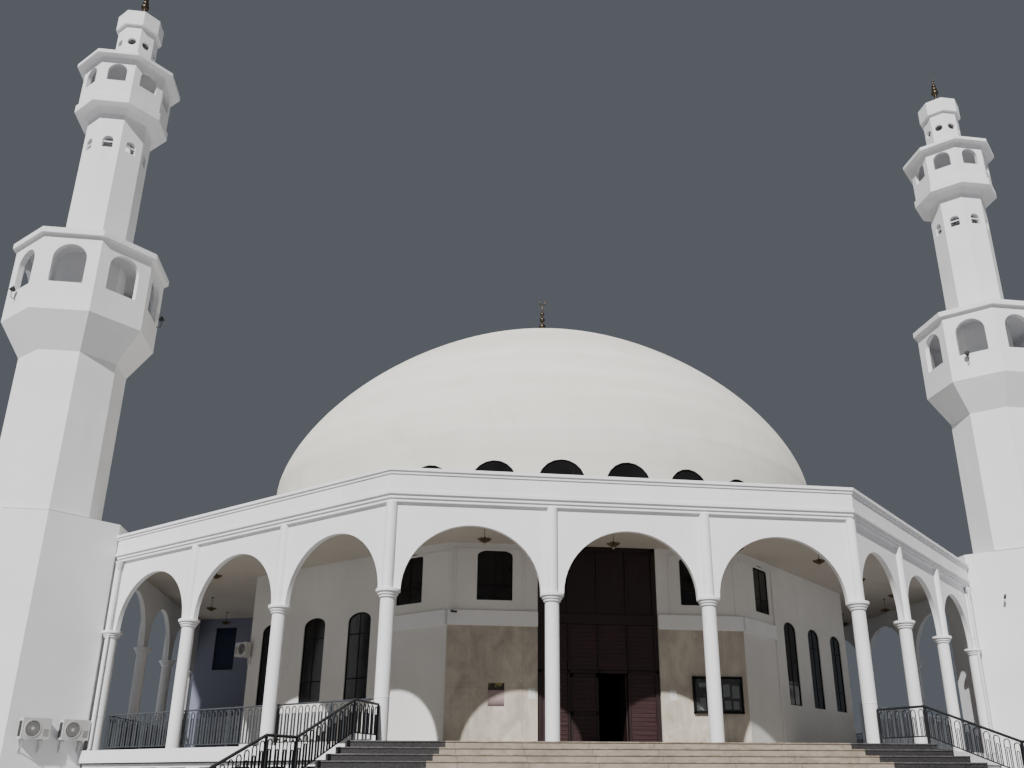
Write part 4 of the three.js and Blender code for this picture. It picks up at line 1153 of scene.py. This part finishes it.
def condensers():
    """Two air-conditioner units on brackets on the slanted face of the left base."""
    case, dark, metal = shapes(3)
    place = shift(-MINARET_X, MINARET_Y) @ turn(1)
    wall = -BASE_APOTHEM
    y0, y1, z0, z1 = -2.36, -2.06, 3.15, 3.83
    for x0 in (-0.47, 0.93):
        x1 = x0 + 0.98
        case.box(x0, x1, y0, y1, z0, z1, place)
        lay = upright(place, x0 + 0.36, y0, (z0 + z1) / 2)
        fan_guard(case, dark, lay, (0.27, 0.27), (0.05, 0.1, 0.15, 0.2, 0.25), 28, 0.014, 0.0055)
        case.tube(circle(0.275, 0.008, 32), 0.014, 6, lay, closed=True)
        for k in range(8):
            spoke = Vector((0.27 * cos(pi * k / 8), 0.27 * sin(pi * k / 8), 0.0))
            lift = Vector((0, 0, 0.01))
            case.tube([lift - spoke, lift + spoke], 0.004, 5, lay)
        case.lathe([(0, 0.02), (0.045, 0.018), (0.05, 0.0), (0, 0.0)], 20, lay)
        for k in range(7):
            z = z0 + 0.1 + 0.035 * k
            dark.box(x0 + 0.74, x0 + 0.93, y0 - 0.003, y0 + 0.001, z, z + 0.012, place)
        dark.box(x0 - 0.002, x0 + 0.001, y0 + 0.05, y1 - 0.05, z0 + 0.08, z1 - 0.1, place)
        for x in (x0 + 0.14, x1 - 0.18):
            metal.box(x, x + 0.04, y0 - 0.02, wall - 0.002, z0 - 0.045, z0 - 0.001, place)
            strut = [(x + 0.02, y0 + 0.02, z0 - 0.04), (x + 0.02, wall - 0.01, z0 - 0.36)]
            metal.tube(strut, 0.016, 6, place)
            metal.box(x, x + 0.04, wall - 0.03, wall - 0.002, z0 - 0.42, z0 - 0.001, place)
        hose = [(x1 - 0.05, y1 - 0.1, z0 + 0.12), (x1 + 0.06, y1, z0 + 0.16),
                (x1 + 0.08, wall - 0.02, z0 + 0.3), (x1 + 0.08, wall - 0.02, z0 + 0.62)]
        dark.tube(hose, 0.02, 8, place)
    piece("condenser_cases", case, ENAMEL, bevel=0.008, smooth=40)
    piece("condenser_grilles", dark, DARK, smooth=40)
    piece("condenser_brackets", metal, ENAMEL, smooth=40)


def hall_corner_unit():
    """A box unit with a round grille on a bracket at the hall's left front corner."""
    case, dark = shapes(2)
    place = turn(-1)
    x0, x1, z0, z1 = -5.62, -4.96, 6.36, 6.89
    y0, y1 = -HALL - 0.36, -HALL - 0.1
    case.box(x0, x1, y0, y1, z0, z1, place)
    for x in (-5.2, -5.06):
        case.box(x, x + 0.05, y0 + 0.03, -HALL, z0 - 0.05, z0 - 0.001, place)
        case.box(x, x + 0.05, -HALL - 0.03, -HALL, z0 - 0.3, z0 - 0.05, place)
    lay = upright(place, x1 - 0.25, y0, (z0 + z1) / 2)
    fan_guard(case, dark, lay, (0.2, 0.21), (0.05, 0.095, 0.14, 0.185), 24, 0.012, 0.005)
    for k in range(6):
        z = z0 + 0.1 + 0.05 * k
        dark.box(x0 + 0.04, x0 + 0.16, y0 - 0.003, y0 + 0.001, z, z + 0.02, place)
    piece("corner_unit_case", case, ENAMEL, bevel=0.01, smooth=40)
    piece("corner_unit_grille", dark, DARK, smooth=40)


def small_fixtures():
    """A camera on the front wall and a lamp bracket on the right base."""
    shape = Shape()
    x, y, z = -5.0, -BAND_FACE, FLOOR + 4.36
    shape.tube([(x, y, z), (x, y - 0.08, z - 0.02)], 0.015, 8)
    shape.tube([(x - 0.05, y - 0.06, z - 0.05), (x + 0.12, y - 0.22, z - 0.09)], 0.035, 12)
    x, y, z = -0.6, -BASE_APOTHEM, 9.1
    place = shift(MINARET_X, MINARET_Y) @ turn(-1)
    shape.tube([(x, y, z), (x, y - 0.2, z + 0.03), (x, y - 0.28, z - 0.05)], 0.018, 8, place)
    shape.tube([(x, y - 0.24, z - 0.05), (x, y - 0.36, z - 0.16)], 0.05, 12, place)
    piece("small_fixtures", shape, DARK, smooth=45)


def basement_frames():
    """A frame and a bar in each basement window, and a dark band painted as the shadow under the floor's
    overhanging edge.
    """
    shape, joint = shapes(2)
    y = 0.24 - PODIUM_FACE
    for face in (-3, -2, -1, 1, 2, 3, 4):
        for n in range(-4, 5):
            if (face, n) in ((-2, 4), (2, -4)):
                continue
            c = n * BAY / 3
            barred_frame(shape, c - 0.45, c + 0.45, y, y + 0.05, 1.35, 2.25, 0.05, 0.02, turn(face))
    piece("basement_window_frames", shape, FRAME, smooth=20)
    # Painted shadow: a thin dark ring just under the floor's overhang, from the podium face out to the
    # floor's edge.
    low, high = FLOOR_UNDERSIDE - 0.05, FLOOR_UNDERSIDE - 0.002
    near, far = PODIUM_FACE + 0.001, FLOOR_EDGE
    joint.octagonal([(near, low), (far, low), (far, high), (near, high)])
    piece("floor_edge_painted_shadow", joint, DARK, smooth=20)


# Finishes on the kept nodes

def finish_nodes():
    kept = {
        "ground_slab": ROOF, "podium_wall": BASEMENT, "main_floor": FLOOR_FINISH,
        "basement_window_glass": GLASS, "stair_upper_flight": STAIR, "stair_lower_flight": STAIR,
        "cornice_and_parapet": WHITE, "gallery_roof": ROOF, "gallery_cross_wall": SLATE,
        "cross_wall_glass": BLUE_GLASS, "minaret_left_base": TOWER, "minaret_right_base": TOWER,
        "minaret_left_lower_shaft": TOWER, "minaret_right_lower_shaft": TOWER,
    }
    for name, material in kept.items():
        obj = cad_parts[name]
        if obj.material_slots:
            for place in obj.material_slots:
                place.material = material
        else:
            obj.data.materials.append(material)


# Stage, light and camera

def stage_and_light():
    mesh = bpy.data.meshes.new("stage_floor")
    r = STAGE_REACH
    mesh.from_pydata([(-r, -r, 0), (r, -r, 0), (r, r, 0), (-r, r, 0)], [], [(0, 1, 2, 3)])
    floor = bpy.data.objects.new("stage_floor", mesh)
    floor.location.z = -STAGE_DROP
    bpy.context.scene.collection.objects.link(floor)
    mesh.materials.append(plaster("stage_floor", (0.36, 0.36, 0.36), 0.0, mottle=0.02))

    world = bpy.data.worlds.new("studio")
    bpy.context.scene.world = world
    world.use_nodes = True
    background = world.node_tree.nodes["Background"]
    background.inputs["Color"].default_value = SKY_COLOR
    background.inputs["Strength"].default_value = SKY_STRENGTH

    light = bpy.data.lights.new("key", "SUN")
    light.energy = SUN_STRENGTH
    light.angle = SUN_ANGLE
    light.color = SUN_COLOR
    key = bpy.data.objects.new("key", light)
    key.rotation_euler = Vector(SUN_TRAVEL).to_track_quat("-Z", "Y").to_euler()
    bpy.context.scene.collection.objects.link(key)


def camera():
    level = cos(PITCH)
    forward = Vector((sin(YAW) * level, cos(YAW) * level, sin(PITCH)))
    right = Vector((cos(YAW), -sin(YAW), 0))
    up = right.cross(forward)
    across = right * cos(ROLL) + up * sin(ROLL)
    above = up * cos(ROLL) - right * sin(ROLL)
    data = bpy.data.cameras.new("photo_view")
    data.sensor_width = SENSOR_WIDTH
    data.lens = FOCAL_PIXELS / PHOTO_WIDTH * SENSOR_WIDTH
    data.shift_x, data.shift_y = LENS_SHIFT
    data.clip_end = VIEW_DEPTH
    eye = bpy.data.objects.new("photo_view", data)
    turned = Matrix((across, above, -forward)).transposed().to_4x4()
    eye.matrix_world = Matrix.Translation(Vector(EYE) * SCALE) @ turned
    bpy.context.scene.collection.objects.link(eye)
    bpy.context.scene.camera = eye


arcades()
hall_walls()
hall_trim()
notices()
portal()
door_leaf(-1, "left", 0.0)
door_leaf(1, "right", -90.0)
dome()
finial("dome_top_finial", "dome_finial", 0.0, 0.0, DOME_SPRING + DOME_RISE, DOME_FINIAL_TOP)
gallery_railings()
stair_railings()
stair_treads()
minaret(*SIDES[0])
minaret(*SIDES[1])
star_lamps()
ceiling()
downpipes()
condensers()
hall_corner_unit()
small_fixtures()
basement_frames()
finish_nodes()
stage_and_light()
camera()
